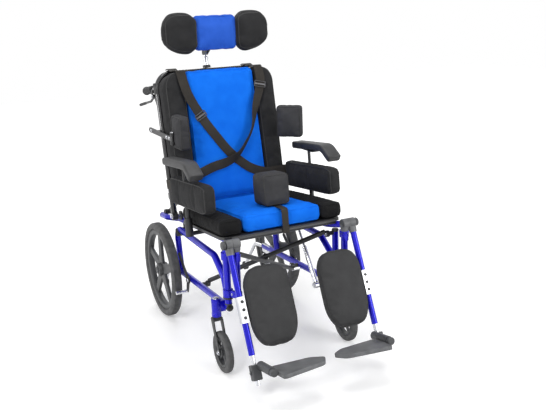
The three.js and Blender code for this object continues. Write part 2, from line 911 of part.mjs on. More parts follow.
// Base frame: rails, posts, stem housing, axle plate, pivots and anti-tip leg
function baseFrame(withSpringFoot) {
  const postFoot = at(railX, frontPostY, lowerFrontZ);
  const pieces = [
    tube([
      at(railX, rearFootY, lowerRailZ(rearFootY)),
      at(railX, rearTopY, upperRailZ),
      at(railX, curveStartY, upperRailZ),
      at(railX, curveKneeY, curveKneeZ),
      at(railX, curveEndY, curveEndZ),
    ], frameTube, rearBend),
    tube([at(railX, lowerRearY, lowerRearZ), postFoot], frameTube),
    rod(postFoot, at(railX, frontPostY, frontPostTopZ), frameTube, tubeSides),
    rod(at(casterX, stemY, housingBottomZ), at(casterX, stemY, housingTopZ), housingRadius),
    block(
      railX, casterX, stemY - housingRadius / 2, stemY + housingRadius / 2,
      lowerRailZ(stemY) - frameTube, housingTopZ - frameTube,
    ),
    block(
      railX - axlePlateThickness / 2, railX + axlePlateThickness / 2,
      -axlePlateLength / 2, lowerRearY + frameTube / 2,
      rearRadius - axlePlateHeight / 2, rearRadius + axlePlateHeight / 2,
    ),
    crossRod(railX, rearWheelX - hubWidth / 2 - mate, 0, rearRadius, axleBossRadius),
    crossRod(railX, rearWheelX + hubWidth / 2 + mate + axleCapLength, 0, rearRadius, axleRadius),
    crossRod(
      rearWheelX + hubWidth / 2 + mate, rearWheelX + hubWidth / 2 + mate + axleCapLength,
      0, rearRadius, axleCapRadius,
    ),
    crossRod(pivotBossInnerX, railX + frameTube, pivotY, pivotZ, pivotBossRadius),
    crossRod(pivotPlateInnerX - mate - pivotHeadThickness, railX, pivotY, pivotZ, pivotPinRadius),
    crossRod(
      pivotPlateInnerX - mate - pivotHeadThickness, pivotPlateInnerX - mate,
      pivotY, pivotZ, pivotHeadRadius,
    ),
    crossRod(braceStubEndX, railX, frontPostY, braceTopZ, braceStubRadius),
    crossRod(braceStubEndX, railX, braceFootY, braceFootZ, braceStubRadius),
    crossRod(railX, lockPinEndX, lockPivotY, lowerRailZ(lockPivotY), lockPinRadius),
    tube([
      at(railX, lowerRearY - frameTube, lowerRearZ),
      at(antiTipX, antiTipTopY, antiTipTopZ),
      at(antiTipX, antiTipEndY, antiTipEndZ),
    ], antiTipTube, antiTipBend),
    crossRod(
      antiTipX - antiTipRollerWidth / 2, antiTipX + antiTipRollerWidth / 2,
      antiTipEndY, antiTipEndZ, antiTipRollerRadius,
    ),
  ];
  if (withSpringFoot) {
    const inner = springX - eyeWidth / 2 - mate;
    pieces.push(crossRod(inner - pinHeadThickness, railX, springFootY, springFootZ, footPinRadius));
    pieces.push(crossRod(inner - pinHeadThickness, inner, springFootY, springFootZ, footEyeRadius));
  }
  const stemBore = rod(
    at(casterX, stemY, housingBottomZ - overrun), at(casterX, stemY, stemTopZ + mate), bore(stemRadius),
  );
  return cut(joined(...pieces), stemBore);
}

addPart(model, 'base_frame_right', baseFrame(true), finishes.candyBlue);
addPart(model, 'base_frame_left', mirrored(baseFrame(false)), finishes.candyBlue);

// Crossed brace: each bar runs from one front post to the other lower rail
const bracePlane = at(0, braceFootY - frontPostY, braceFootZ - braceTopZ);
const braceNormal = at(0, -bracePlane.z, bracePlane.y).normalize();
const braceOffset = braceTube + bracePass / 2;
const braceCentre = at(0, (frontPostY + braceFootY) / 2, (braceTopZ + braceFootZ) / 2);

function braceBar(topSide, level) {
  const barX = (braceLugInnerX + braceStubEndX) / 2;
  const lift = braceNormal.clone().multiplyScalar(level * braceOffset);
  const top = at(topSide * barX, frontPostY, braceTopZ).add(lift);
  const foot = at(-topSide * barX, braceFootY, braceFootZ).add(lift);
  const ends = [[topSide, frontPostY, braceTopZ], [-topSide, braceFootY, braceFootZ]];
  const lugs = ends.map(([side, y, z]) =>
    crossRod(side * braceLugInnerX, side * braceLugOuterX, y, z, braceLugRadius));
  const bores = ends.map(([side, y, z]) =>
    crossRod(
      side * (braceStubEndX - mate), side * (braceLugOuterX + overrun), y, z, bore(braceStubRadius),
    ));
  return cut(joined(rod(top, foot, braceTube, tubeSides), ...lugs), ...bores);
}

function boltPiece(fromLevel, toLevel, radius) {
  const from = braceCentre.clone().addScaledVector(braceNormal, fromLevel);
  const to = braceCentre.clone().addScaledVector(braceNormal, toLevel);
  return rod(from, to, radius);
}

const nutLevel = -(braceOffset + braceTube + mate);
const boltedBar = joined(
  braceBar(1, 1),
  boltPiece(nutLevel - braceNutThickness, braceOffset + braceTube + braceNutThickness / 2, braceBoltRadius),
  boltPiece(nutLevel - braceNutThickness, nutLevel, braceNutRadius),
  boltPiece(braceOffset + braceTube / 2, braceOffset + braceTube + braceNutThickness / 2, braceNutRadius),
);
const boredBar = cut(braceBar(-1, -1), boltPiece(nutLevel - overrun, 0, bore(braceBoltRadius)));
addPart(model, 'brace_bar_a', boltedBar, finishes.blackPaint);
addPart(model, 'brace_bar_b', boredBar, finishes.blackPaint);

// Wheel locks: a plate on the lower rail with a shoe in front of the tyre and a hand lever
function wheelLock() {
  const pivotHeight = lowerRailZ(lockPivotY);
  const outerX = lockPlateInnerX + lockPlateThickness;
  const midX = (lockPlateInnerX + outerX) / 2;
  const pivot = at(midX, lockPivotY, pivotHeight);
  const pieces = [
    crossRod(lockPlateInnerX, outerX, lockPivotY, pivotHeight, lockBossRadius),
    rod(pivot, at(midX, lockShoeY, lockShoeZ), lockPlateThickness / 2, tubeSides),
    crossRod(lockShoeStartX, lockShoeEndX, lockShoeY, lockShoeZ, lockShoeRadius),
    rod(pivot, at(midX, lockLeverY, lockLeverZ), lockPlateThickness / 2, tubeSides),
    rod(
      at(midX, mix(lockPivotY, lockLeverY, lockGripShare), mix(pivotHeight, lockLeverZ, lockGripShare)),
      at(midX, lockLeverY, lockLeverZ), lockLeverWidth / 2, tubeSides,
    ),
  ];
  const through = crossRod(
    lockPlateInnerX - overrun, outerX + overrun, lockPivotY, pivotHeight, bore(lockPinRadius),
  );
  return cut(joined(...pieces), through);
}

addPair(model, 'wheel_lock', wheelLock(), finishes.blackPaint);

// A gas spring in the side view: foot and head points, body and rod along the line between
function springBody(x, foot, head, radius, length, boreStart, rodRadius, eyeRadius, pin, across) {
  const axis = head.clone().sub(foot).normalize();
  const along = (distance) => at(x, foot.y, foot.z).addScaledVector(axis, distance);
  const barrel = rod(along(eyeRadius / 2), along(length), radius);
  const eye = crossRod(x - across / 2, x + across / 2, foot.y, foot.z, eyeRadius);
  const hollow = rod(along(boreStart), along(length + overrun), bore(rodRadius));
  const through = crossRod(x - across, x + across, foot.y, foot.z, bore(pin));
  return cut(joined(barrel, eye), hollow, through);
}

function springRod(x, foot, head, radius, length, eyeRadius, eyeHole, across) {
  const axis = foot.clone().sub(head).normalize();
  const along = (distance) => at(x, head.y, head.z).addScaledVector(axis, distance);
  const shaft = rod(along((eyeRadius + eyeHole) / 2), along(length), radius);
  const eye = crossRod(x - across / 2, x + across / 2, head.y, head.z, eyeRadius);
  const through = crossRod(x - across, x + across, head.y, head.z, eyeHole);
  return cut(joined(shaft, eye), through);
}

const tiltFoot = at(0, springFootY, springFootZ);
const tiltHead = at(0, springHeadY, springHeadZ);
addPart(model, 'tilt_cylinder', springBody(
  springX, tiltFoot, tiltHead, springBodyRadius, springBodyLength,
  springBoreStart, springRodRadius, footEyeRadius, footPinRadius, eyeWidth,
), finishes.steel);
addPart(model, 'tilt_rod', springRod(
  springX, tiltFoot, tiltHead, springRodRadius, springRodLength, headEyeRadius, headEyeHole, eyeWidth,
), finishes.steel);

const reclineFoot = at(0, reclineFootY, reclineFootZ);
const reclineHead = backPoint(0, 0, reclineHeadUp);
addPair(model, 'recline_cylinder', springBody(
  reclineX, reclineFoot, reclineHead, reclineBodyRadius, reclineBodyLength,
  reclineBoreStart, reclineRodRadius, reclineEyeRadius, footPinRadius - mate, reclineEyeWidth,
), finishes.steel);
addPair(model, 'recline_rod', springRod(
  reclineX, reclineFoot, reclineHead, reclineRodRadius, reclineRodLength,
  reclineEyeRadius, reclineEyeHole, reclineHeadWidth,
), finishes.steel);

// Seat side frame: sloping rail, front post, pivot plate, back hinge and armrest socket
const socketRadius = bore(armPostRadius) + socketWall;

function seatFrame(withSpringHead) {
  const railPoint = (x, y) => at(x, y, seatRailZ(y));
  const postTop = at(postX, postY, seatRailZ(postY) + postCapHeight);
  const hingeOuterX = hingePlateInnerX + hingePlateThickness;
  const pivotPlateOuterX = pivotPlateInnerX + pivotPlateThickness;
  const pieces = [
    tube([
      railPoint(railRearX, seatRearY),
      railPoint(railRearX, railBendEndY),
      railPoint(seatRailX, railBendStartY),
      railPoint(seatRailX, railFrontY),
      railPoint(postX, postY),
    ], frameTube, railBend),
    rod(at(postX, postY, postBottomZ), postTop, frameTube),
    crossRod(hingePlateInnerX, hingeOuterX, hingeY, hingeZ, hingePlateRadius),
    block(
      hingePlateInnerX, hingeOuterX, hingeY - hingePlateRadius, hingeY + hingePlateRadius,
      seatRailZ(hingeY), hingeZ,
    ),
    crossRod(
      hingePlateInnerX, caneX + caneLugHalf + mate + pinHeadThickness, hingeY, hingeZ, hingePinRadius,
    ),
    crossRod(
      caneX + caneLugHalf + mate, caneX + caneLugHalf + mate + pinHeadThickness,
      hingeY, hingeZ, hingePinHeadRadius,
    ),
    crossRod(pivotPlateInnerX, pivotPlateOuterX, pivotY, pivotZ, pivotBossRadius),
    block(
      pivotPlateInnerX, pivotPlateOuterX, pivotY - pivotBossRadius, pivotY + pivotBossRadius,
      pivotZ, seatRailZ(pivotY),
    ),
    crossRod(railRearX - frameTube, railRearX, reclineFootY, reclineFootZ, reclineLugRadius),
    crossRod(
      reclineX - reclineEyeWidth / 2 - mate - pinHeadThickness, railRearX,
      reclineFootY, reclineFootZ, footPinRadius - mate,
    ),
    crossRod(
      reclineX - reclineEyeWidth / 2 - mate - pinHeadThickness, reclineX - reclineEyeWidth / 2 - mate,
      reclineFootY, reclineFootZ, reclineEyeRadius,
    ),
    rod(
      seatPoint(armPostX, armPostAlong, socketLow), seatPoint(armPostX, armPostAlong, socketHigh),
      socketRadius,
    ),
    rod(
      seatPoint(armPostX, armPostAlong, socketLow), seatPoint(armPostX, armPostAlong, socketShoeHigh),
      socketRadius + socketShoeWall,
    ),
    rod(seatPoint(seatRailX, armPostAlong, 0), seatPoint(armPostX, armPostAlong, 0), sideBarRadius),
    rod(
      at(postX, postY, collarLowZ - mate - stopHeight), at(postX, postY, collarLowZ - mate),
      bore(frameTube) + collarWall,
    ),
  ];
  if (withSpringHead) {
    const inner = springX - eyeWidth / 2 - mate;
    pieces.push(crossRod(inner - pinHeadThickness, seatRailX, springHeadY, springHeadZ, headPinRadius));
    pieces.push(crossRod(inner - pinHeadThickness, inner, springHeadY, springHeadZ, footEyeRadius));
  }
  const pivotHole = crossRod(
    pivotPlateInnerX - overrun, pivotPlateOuterX + overrun / 2, pivotY, pivotZ, bore(pivotPinRadius),
  );
  const socketHole = rod(
    seatPoint(armPostX, armPostAlong, socketLow - overrun),
    seatPoint(armPostX, armPostAlong, socketHigh + overrun), bore(armPostRadius),
  );
  return cut(joined(...pieces), pivotHole, socketHole);
}

addPart(model, 'seat_frame_right', seatFrame(true), finishes.candyBlue);
addPart(model, 'seat_frame_left', mirrored(seatFrame(false)), finishes.candyBlue);

// Seat pan with its round front bar
const panBottom = frameTube + mate;
const panTop = panBottom + panThickness;
const panOutline = [
  [-panHalf, -panRear], [panHalf, -panRear],
  [panHalf, panCorner - panFront], [panHalf - panCorner, -panFront],
  [panCorner - panHalf, -panFront], [-panHalf, panCorner - panFront],
];
const panBarUp = panTop - panBarRadius;
const panBarHalf = panHalf - panCorner - overrun;
addPart(seatGroup, 'seat_pan', joined(
  floorPlate(panOutline, panBottom, panTop),
  rod(at(-panBarHalf, -panFront, panBarUp), at(panBarHalf, -panFront, panBarUp), panBarRadius),
), finishes.blackPaint);

// Seat cushion: black bolsters tied at the rear, and a blue centre between them
const cushionFloor = panTop + mate;

function seatPad(fromX, toX, rear, height, cells) {
  const size = [toX - fromX, seatFront - rear, height];
  const shapeVertex = (vertex, half) => {
    const top = Math.max(0, vertex.z / half[2]);
    const endShare = (Math.abs(vertex.y) / half[1]) ** seatEndPower;
    vertex.z += seatCrown * top * swell(vertex.x, half[0]) * swell(vertex.y, half[1]);
    vertex.y += seatDrawIn * Math.sign(-vertex.y) * swell(vertex.z, half[2]) * endShare;
  };
  const pad = padded(size, seatCorner, cells, shapeVertex);
  return pad.translate((fromX + toX) / 2, -(rear + seatFront) / 2, cushionFloor + height / 2);
}

const seatBolster = seatPad(seatCentreHalf + mate, seatHalf, seatRear, seatBolsterHeight, seatBolsterCells);
addPart(seatGroup, 'seat_cushion', joined(
  seatBolster,
  mirrored(seatBolster),
  block(
    -(seatCentreHalf + seatTieLap), seatCentreHalf + seatTieLap, -(seatRear + seatTieDepth), -seatRear,
    cushionFloor + seatCorner / 4, cushionFloor + seatTieHeight,
  ),
), finishes.blackCloth);
const seatCentreRear = seatRear + seatTieDepth + mate;
addPart(
  seatGroup, 'seat_centre',
  seatPad(-seatCentreHalf, seatCentreHalf, seatCentreRear, seatCentreHeight, seatCentreCells),
  finishes.blueCloth,
);

// Pommel pad on its strap over the front edge of the cushion
const strapUp = cushionFloor + seatCentreHeight + seatCrown + mate + strapThickness / 2;
const strapForward = panFront + panBarRadius + mate / 2 + strapThickness / 2;
const pommelSize = [pommelWidth, pommelFront - pommelRear, pommelHeight];
const pommelUp = strapUp + strapThickness / 2 + mate;
const pommel = padded(pommelSize, pommelCorner, plainCells, (vertex, half) => {
  vertex.x *= 1 + pommelWaistShare * swell(vertex.z, half[2]);
});
addPart(
  seatGroup, 'pommel_pad',
  pommel.translate(0, -(pommelRear + pommelFront) / 2, pommelUp + pommelHeight / 2),
  finishes.blackCloth,
);
const strapStops = [
  ...strapTopShares.map((share) => (
    { at: at(0, -mix(strapRear, strapForward, share), strapUp), facing: at(0, 0, 1) })),
  ...strapDropShares.map((share) => (
    { at: at(0, -strapForward, mix(strapUp, strapLow, share)), facing: at(0, -1, 0) })),
];
const rectangle = (thickness, width) => new THREE.Shape([
  new THREE.Vector2(-thickness / 2, -width / 2),
  new THREE.Vector2(thickness / 2, -width / 2),
  new THREE.Vector2(thickness / 2, width / 2),
  new THREE.Vector2(-thickness / 2, width / 2),
]);

function strap(stops, thickness, width, steps) {
  const count = Math.round(steps);
  const path = new StrapPath(stops, count);
  return new THREE.ExtrudeGeometry(rectangle(thickness, width), { steps: count, extrudePath: path });
}

const pommelStrap = strap(strapStops, strapThickness, strapWidth, strapSteps);
addPart(seatGroup, 'pommel_strap', pommelStrap, finishes.blackCloth);

// Side pads with two upright seams, open in the middle for the armrest socket
function sidePad() {
  const size = [sidePadOuter - sidePadInner, sidePadFront - sidePadRear, sidePadHigh - sidePadLow];
  const pad = padded(size, sidePadCorner, sidePadCells, (vertex, half) => {
    const inward = Math.max(0, -vertex.x / half[0]);
    for (const share of sidePadSeamShares) {
      const away = (vertex.y - share * half[1]) / sidePadSeamWidth;
      vertex.x += sidePadSeamDepth * inward * Math.exp(-away * away);
    }
    vertex.z *= 1 - sidePadEdgeShare * swell(vertex.x, half[0]);
  });
  pad.translate(
    (sidePadInner + sidePadOuter) / 2, -(sidePadRear + sidePadFront) / 2, (sidePadLow + sidePadHigh) / 2,
  );
  const pocket = rod(
    at(armPostX, -armPostAlong, sidePadLow - overrun), at(armPostX, -armPostAlong, sidePadHigh + overrun),
    bore(socketRadius),
  );
  return cut(pad, pocket);
}

addPair(seatGroup, 'side_pad', sidePad(), finishes.blackCloth);

// Armrests: a pad with a drooped front on a post that slides in the socket
function armPad() {
  const underside = armPadTop - armPadThickness;
  const outline = [
    [-armPadRear, underside + armPadBevel],
    [-armPadRear - armPadBevel, underside],
    [-armPadBend + armPadBevel, underside],
    [-armPadFront + armPadThickness / 2, armPadTop - armPadDrop - armPadThickness / 2],
    [-armPadFront, armPadTop - armPadDrop - armPadThickness * armPadNoseShare],
    [-armPadFront - armPadBevel, armPadTop - armPadDrop],
    [-armPadBend, armPadTop],
    [-armPadRear - armPadBevel, armPadTop],
    [-armPadRear, armPadTop - armPadBevel],
  ];
  return sidePlate(outline, armPadInner, armPadOuter);
}

addPair(seatGroup, 'armrest_pad', armPad(), finishes.plastic);
addPair(seatGroup, 'armrest_post', rod(
  at(armPostX, -armPostAlong, armPostLow),
  at(armPostX, -armPostAlong, armPadTop - armPadThickness - mate), armPostRadius,
), finishes.blackPaint);

// Back hoop: two canes joined over the top, hinge lugs, push handles and the headrest socket
const handleKnee = at(handleKneeX, handleKneeY, handleKneeZ);
const handleEnd = at(handleEndX, handleEndY, handleEndZ);
const gripStart = handleEnd.clone().lerp(handleKnee, gripLength / handleEnd.distanceTo(handleKnee));

function hoopSide() {
  const lugX = [caneX - caneLugHalf, caneX + caneLugHalf];
  const clampLow = handleUp - handleClampLength / 2;
  const handleRoot = backPoint(caneX, 0, handleUp);
  const headPin = backPoint(0, 0, reclineHeadUp);
  const pieces = [
    crossRod(lugX[0], lugX[1], hingeY, hingeZ, caneLugRadius),
    rod(
      backPoint(caneX, 0, clampLow), backPoint(caneX, 0, clampLow + handleClampLength), handleClampRadius,
    ),
    tube([handleRoot, handleKnee, handleEnd], handleTube, handleBend),
    crossRod(reclineX - reclineHeadWidth, caneX, headPin.y, headPin.z, headPinRadius),
    rod(
      backPoint(caneX, -cableBack, releaseHeadLow), backPoint(caneX, -cableBack, cableLow - mate),
      releaseHeadRadius,
    ),
    crossRod(
      leverX - leverBossHalf - mate, leverEarX + leverBossHalf / 2,
      leverPivotY, leverPivotZ, leverPinRadius,
    ),
    block(
      leverX + leverBossHalf + mate, leverEarX + leverBossHalf / 2,
      leverPivotY - leverBossRadius, leverPivotY + leverBossRadius,
      leverPivotZ - leverBossRadius, handleKneeZ,
    ),
  ];
  return pieces;
}

function backHoop() {
  const corner = (x, up) => backPoint(x, 0, up);
  const arch = tube([
    corner(caneX, caneFoot), corner(caneX, hoopTop),
    corner(-caneX, hoopTop), corner(-caneX, caneFoot),
  ], frameTube, hoopCorner);
  const right = joined(...hoopSide());
  const socket = rod(
    backPoint(0, -headPostBack, headSocketLow), backPoint(0, -headPostBack, headSocketHigh),
    bore(headPostRadius) + headSocketWall,
  );
  const whole = joined(arch, right, mirrored(right), socket);
  const lugBore = crossRod(
    caneX - caneLugHalf - overrun, caneX + caneLugHalf + overrun, hingeY, hingeZ, bore(hingePinRadius),
  );
  const postBore = rod(
    backPoint(0, -headPostBack, headSocketLow - overrun),
    backPoint(0, -headPostBack, headSocketHigh + overrun), bore(headPostRadius),
  );
  return cut(whole, lugBore, mirrored(lugBore), postBore);
}

addPart(model, 'back_hoop', backHoop(), finishes.blackPaint);

// Grips, release levers and the cables along the canes
function grip() {
  const along = handleEnd.clone().sub(handleKnee).normalize();
  const endCap = handleEnd.clone().addScaledVector(along, gripEndLength);
  const sleeve = joined(
    rod(gripStart, endCap, bore(handleTube, tubeSides) + gripWall),
    rod(handleEnd.clone().addScaledVector(along, -gripEndLength), endCap, gripEndRadius),
  );
  const back = gripStart.clone().addScaledVector(along, -overrun);
  const tubeEnd = handleEnd.clone().addScaledVector(along, mate);
  return cut(sleeve, rod(back, tubeEnd, bore(handleTube, tubeSides), tubeSides));
}

addPair(model, 'push_grip', grip(), finishes.rubber);

function releaseLever() {
  const arm = tube([
    at(leverX, leverPivotY, leverPivotZ),
    at(leverX, leverKneeY, leverKneeZ),
    at(leverX, leverTipY, leverTipZ),
  ], leverRadius, leverBend);
  const boss = crossRod(
    leverX - leverBossHalf, leverX + leverBossHalf, leverPivotY, leverPivotZ, leverBossRadius,
  );
  const through = crossRod(
    leverX - leverBossHalf - overrun, leverX + leverBossHalf + overrun,
    leverPivotY, leverPivotZ, bore(leverPinRadius),
  );
  return cut(joined(arm, boss), through);
}

addPair(model, 'release_lever', releaseLever(), finishes.blackPaint);

const earMidX = leverEarX + mate;
const earFrontY = leverPivotY - leverBossRadius - mate;
const cableCorners = [
  at(earMidX, earFrontY, leverPivotZ),
  at(earMidX, earFrontY - cableBend, leverPivotZ),
  backPoint(caneX, -cableBack, cableHigh),
  backPoint(caneX, -cableBack, cableLow),
];
addPair(model, 'release_cable', tube(cableCorners, cableRadius, cableBend, cableSides), finishes.rubber);

// Back cushion: bolsters that follow the hoop, a backing between them and a blue centre
const backInner = (up) => mix(backInnerLow, backInnerHigh, (up - backLow) / (backHigh - backLow));

function backOuterAt(up) {
  const into = Math.max(0, up - (backHigh - backTopCorner));
  return backOuter - backTopCorner + Math.sqrt(Math.max(0, backTopCorner ** 2 - into ** 2));
}

function backPad(inner, outer, fromDepth, toDepth, cells) {
  const height = backHigh - backLow;
  const size = [2 * backCorner + 2 * overrun, toDepth - fromDepth, height];
  const midUp = (backLow + backHigh) / 2;
  return padded(size, backCorner, cells, (vertex, half) => {
    const up = vertex.z + midUp;
    const across = vertex.x / half[0];
    const front = Math.max(0, -vertex.y / half[1]);
    vertex.y -= backCrown * front * swell(across, 1) * swell(vertex.z, half[2]);
    vertex.x = mix(inner(up), outer(up), (across + 1) / 2);
    vertex.y -= (fromDepth + toDepth) / 2;
    vertex.z = up;
  });
}

const caneFront = frameTube + mate;
const backBolster = backPad((up) => backInner(up) + mate, backOuterAt, caneFront, backDepth, tallCells);
addPart(backGroup, 'back_cushion', joined(
  backBolster,
  mirrored(backBolster),
  block(
    -(backInnerHigh + backingLap), backInnerHigh + backingLap, -(caneFront + backingDepth), -caneFront,
    backLow + backCorner / 2, backHigh - backCorner / 2,
  ),
), finishes.blackCloth);
addPart(
  backGroup, 'back_centre',
  backPad(
    (up) => -backInner(up), backInner, caneFront + backingDepth + mate, backCentreDepth, backCentreCells,
  ),
  finishes.blueCloth,
);

// Lateral supports: a bar clamped to the cane and a pad on an upright pin
const clampStart = lateralUp - lateralClampLength / 2;
const clampBore = frameTube + mate;
const clampOuter = clampBore + lateralClampWall;

function lateralArm() {
  const barOuter = lateralBarInner + lateralBarThickness;
  const lowZ = lateralBarZ - lateralBarHeight / 2;
  const highZ = lateralBarZ + lateralBarHeight / 2;
  const bar = block(lateralBarInner, barOuter, lateralHingeY, lateralBarRearY, lowZ, highZ);
  const pin = rod(
    at(lateralHingeX, lateralHingeY, lateralBarZ - lateralPinHalf),
    at(lateralHingeX, lateralHingeY, lateralBarZ + lateralPinHalf), lateralPinRadius,
  );
  const clampEnd = clampStart + lateralClampLength;
  const clamp = rod(backPoint(caneX, 0, clampStart), backPoint(caneX, 0, clampEnd), clampOuter, tubeSides);
  const caneBore = rod(
    backPoint(caneX, 0, clampStart - overrun), backPoint(caneX, 0, clampEnd + overrun),
    clampBore, tubeSides,
  );
  const open = block(
    caneX - 2 * clampOuter, lateralBarInner, -2 * clampOuter, -frameTube,
    clampStart - overrun, clampEnd + overrun,
  ).applyMatrix4(backMatrix);
  return cut(joined(cut(joined(bar, clamp), caneBore, open), pin), caneBore);
}

addPair(model, 'lateral_arm', lateralArm(), finishes.blackPaint);

function lateralPad(turn) {
  const size = [lateralPadThickness, lateralPadLength, lateralPadHeight];
  const pad = padded(size, lateralPadCorner, plainCells, (vertex, half) => {
    const inward = Math.max(0, -vertex.x / half[0]);
    vertex.x -= lateralCrown * inward * swell(vertex.y, half[1]) * swell(vertex.z, half[2]);
  });
  pad.translate(-lateralPadInset, -lateralPadForward, lateralPadRise);
  const eyeOuter = bore(lateralPinRadius) + lateralEyeWall;
  const faceX = lateralPadThickness / 2 - lateralPadInset;
  const gap = lateralBarHeight / 2 + mate;
  const pieces = [pad];
  for (const low of [-gap - lateralEyeHeight, gap]) {
    pieces.push(rod(at(0, 0, low), at(0, 0, low + lateralEyeHeight), eyeOuter));
    pieces.push(block(faceX - lateralEyeWall, 0, -eyeOuter, eyeOuter, low, low + lateralEyeHeight));
  }
  const hole = rod(
    at(0, 0, -lateralPinHalf - mate), at(0, 0, lateralPinHalf + mate), bore(lateralPinRadius),
  );
  const clearance = block(faceX + mate, lateralPadInset, -eyeOuter, eyeOuter, -gap, gap);
  const whole = cut(joined(...pieces), hole, clearance);
  return whole.rotateZ(turn).translate(lateralHingeX, lateralHingeY, lateralBarZ);
}

addPart(model, 'lateral_pad_right', lateralPad(lateralFlare), finishes.blackCloth);
addPart(model, 'lateral_pad_left', mirrored(lateralPad(0)), finishes.blackCloth);

// Harness: two crossing straps over the cushion, tied to the hoop and to the canes
const harnessLift = backCentreDepth + backCrown + mate + harnessThickness / 2;
const backFacing = {
  front: at(0, -1, 0), top: at(0, 0, 1), rightSide: at(1, 0, 0), leftSide: at(-1, 0, 0),
};
const hipSideX = caneX + frameTube + mate + harnessThickness / 2;

// Route of a strap from its shoulder tie to its hip tie, by [x, up] places on the cushion front
function harnessStops(side, places, lift) {
  const front = backFacing.front;
  const hipFacing = side > 0 ? backFacing.leftSide : backFacing.rightSide;
  const cornerFacing = hipFacing.clone().add(front).normalize();
  const edgeFacing = backFacing.top.clone().add(front);
  const shoulder = side * shoulderX;
  const hoopUp = hoopTop + frameTube + mate + harnessThickness / 2;
  const stops = [
    { at: at(shoulder, frameTube, hoopUp), facing: backFacing.top },
    { at: at(shoulder, -frameTube, hoopUp), facing: backFacing.top },
    { at: at(shoulder, -backDepth / 2, backHigh + frameTube), facing: backFacing.top },
    { at: at(shoulder, -backDepth + backCorner / 4, backHigh + harnessThickness), facing: edgeFacing },
  ];
  for (const [x, up] of places) {
    stops.push({ at: at(x, -lift, up), facing: front });
  }
  stops.push({ at: at(-side * hipX, -lift, hipUp), facing: front });
  stops.push({ at: at(-side * (hipSideX - mate), -backDepth, hipUp), facing: cornerFacing });
  stops.push({ at: at(-side * hipSideX, -backDepth / 2, hipUp), facing: hipFacing });
  stops.push({ at: at(-side * hipSideX, 0, hipUp), facing: hipFacing });
  return stops;
}

const routePlaces = (shares) => shares.map(([across, up]) => [across * hipX, up * backHigh]);
const leftStrapPlaces = routePlaces(leftRouteShares);
const rightStrapPlaces = routePlaces(rightRouteShares);
const [leftSliderPlace, rightSliderPlace] = routePlaces([leftSliderShares, rightSliderShares]);
function slider([x, up], turn) {
  const plate = block(
    -sliderHalf, sliderHalf, -sliderThickness / 2, sliderThickness / 2, -sliderHalf / 2, sliderHalf / 2,
  );
  return plate.rotateY(turn).translate(x, -(harnessLift + sliderThickness / 4), up);
}

const leftRoute = harnessStops(-1, leftStrapPlaces, harnessLift);
const rightRoute = harnessStops(1, rightStrapPlaces, harnessLift + harnessThickness * harnessCrossShare);
addPart(backGroup, 'harness', joined(
  strap(leftRoute, harnessThickness, harnessWidth, harnessSteps),
  strap(rightRoute, harnessThickness, harnessWidth, harnessSteps),
  slider(leftSliderPlace, leftSliderTurn),
  slider(rightSliderPlace, rightSliderTurn),
), finishes.blackCloth);

// Headrest: a post in the hoop's socket, a tilting carrier with wings and a blue centre
const headPivot = backPoint(0, -headPostBack, headPivotUp);
addPart(model, 'headrest_post', joined(
  rod(backPoint(0, -headPostBack, headPostLow), backPoint(0, -headPostBack, headPostHigh), headPostRadius),
  rod(backPoint(0, -headPostBack, headPostHigh - overrun), headPivot, headLugHalf),
  crossRod(-headLugHalf, headLugHalf, headPivot.y, headPivot.z, headLugRadius),
  crossRod(
    -(headLugHalf + mate + headCheekThickness), headLugHalf + mate + headCheekThickness,
    headPivot.y, headPivot.z, headPinRadiusX,
  ),
), finishes.steel);

function headWing() {
  const size = [
    headWingTipX - headCentreHalf - mate, headWingBackY - headWingFrontY, headWingTopZ - headWingBottomZ,
  ];
  const wing = padded(size, headWingCorner, headWingCells, (vertex, half) => {
    const outShare = ((vertex.x / half[0] + 1) / 2) ** 2;
    vertex.z *= 1 - headWingTipDropShare * outShare;
    vertex.y *= 1 - headWingThinShare * outShare;
    vertex.y -= headWingSweep * outShare;
  });
  return wing.translate(
    (headWingTipX + headCentreHalf + mate) / 2,
    (headWingBackY + headWingFrontY) / 2,
    (headWingTopZ + headWingBottomZ) / 2,
  );
}

function headCheek() {
  const outline = [
    [headPivot.y + headLugRadius, headPivot.z + headLugRadius / 2],
    [headPivot.y + headLugRadius, headPivot.z - headLugRadius],
    [headPivot.y - headLugRadius, headPivot.z - headLugRadius],
    [headShellBackY - headPinRadiusX, headShellBottomZ],
    [headShellBackY - headPinRadiusX, mix(headShellBottomZ, headShellTopZ, headCheekShare)],
  ];
  const inner = headLugHalf + mate;
  return sidePlate(outline, inner, inner + headCheekThickness);
}

function headWings() {
  const wing = headWing();
  const cheek = headCheek();
  const shell = block(
    -headShellHalf, headShellHalf, headCentreBackY + mate, headShellBackY, headShellBottomZ, headShellTopZ,
  );
  const through = crossRod(
    -headLugRadius * 2, headLugRadius * 2, headPivot.y, headPivot.z, bore(headPinRadiusX),
  );
  return cut(joined(shell, wing, mirrored(wing), cheek, mirrored(cheek)), through);
}

addPart(model, 'headrest_wings', headWings(), finishes.blackCloth);
const headCentreSize = [
  2 * headCentreHalf, headCentreBackY - headCentreFrontY, headCentreTopZ - headCentreBottomZ,
];
const headCentre = padded(headCentreSize, headCentreCorner, headCentreCells, (vertex, half) => {
  const front = Math.max(0, -vertex.y / half[1]);
  vertex.y -= headCentreCrown * front * swell(vertex.z, half[2]);
});
addPart(model, 'headrest_centre', headCentre.translate(
  0, (headCentreFrontY + headCentreBackY) / 2, (headCentreTopZ + headCentreBottomZ) / 2,
), finishes.headBlue);

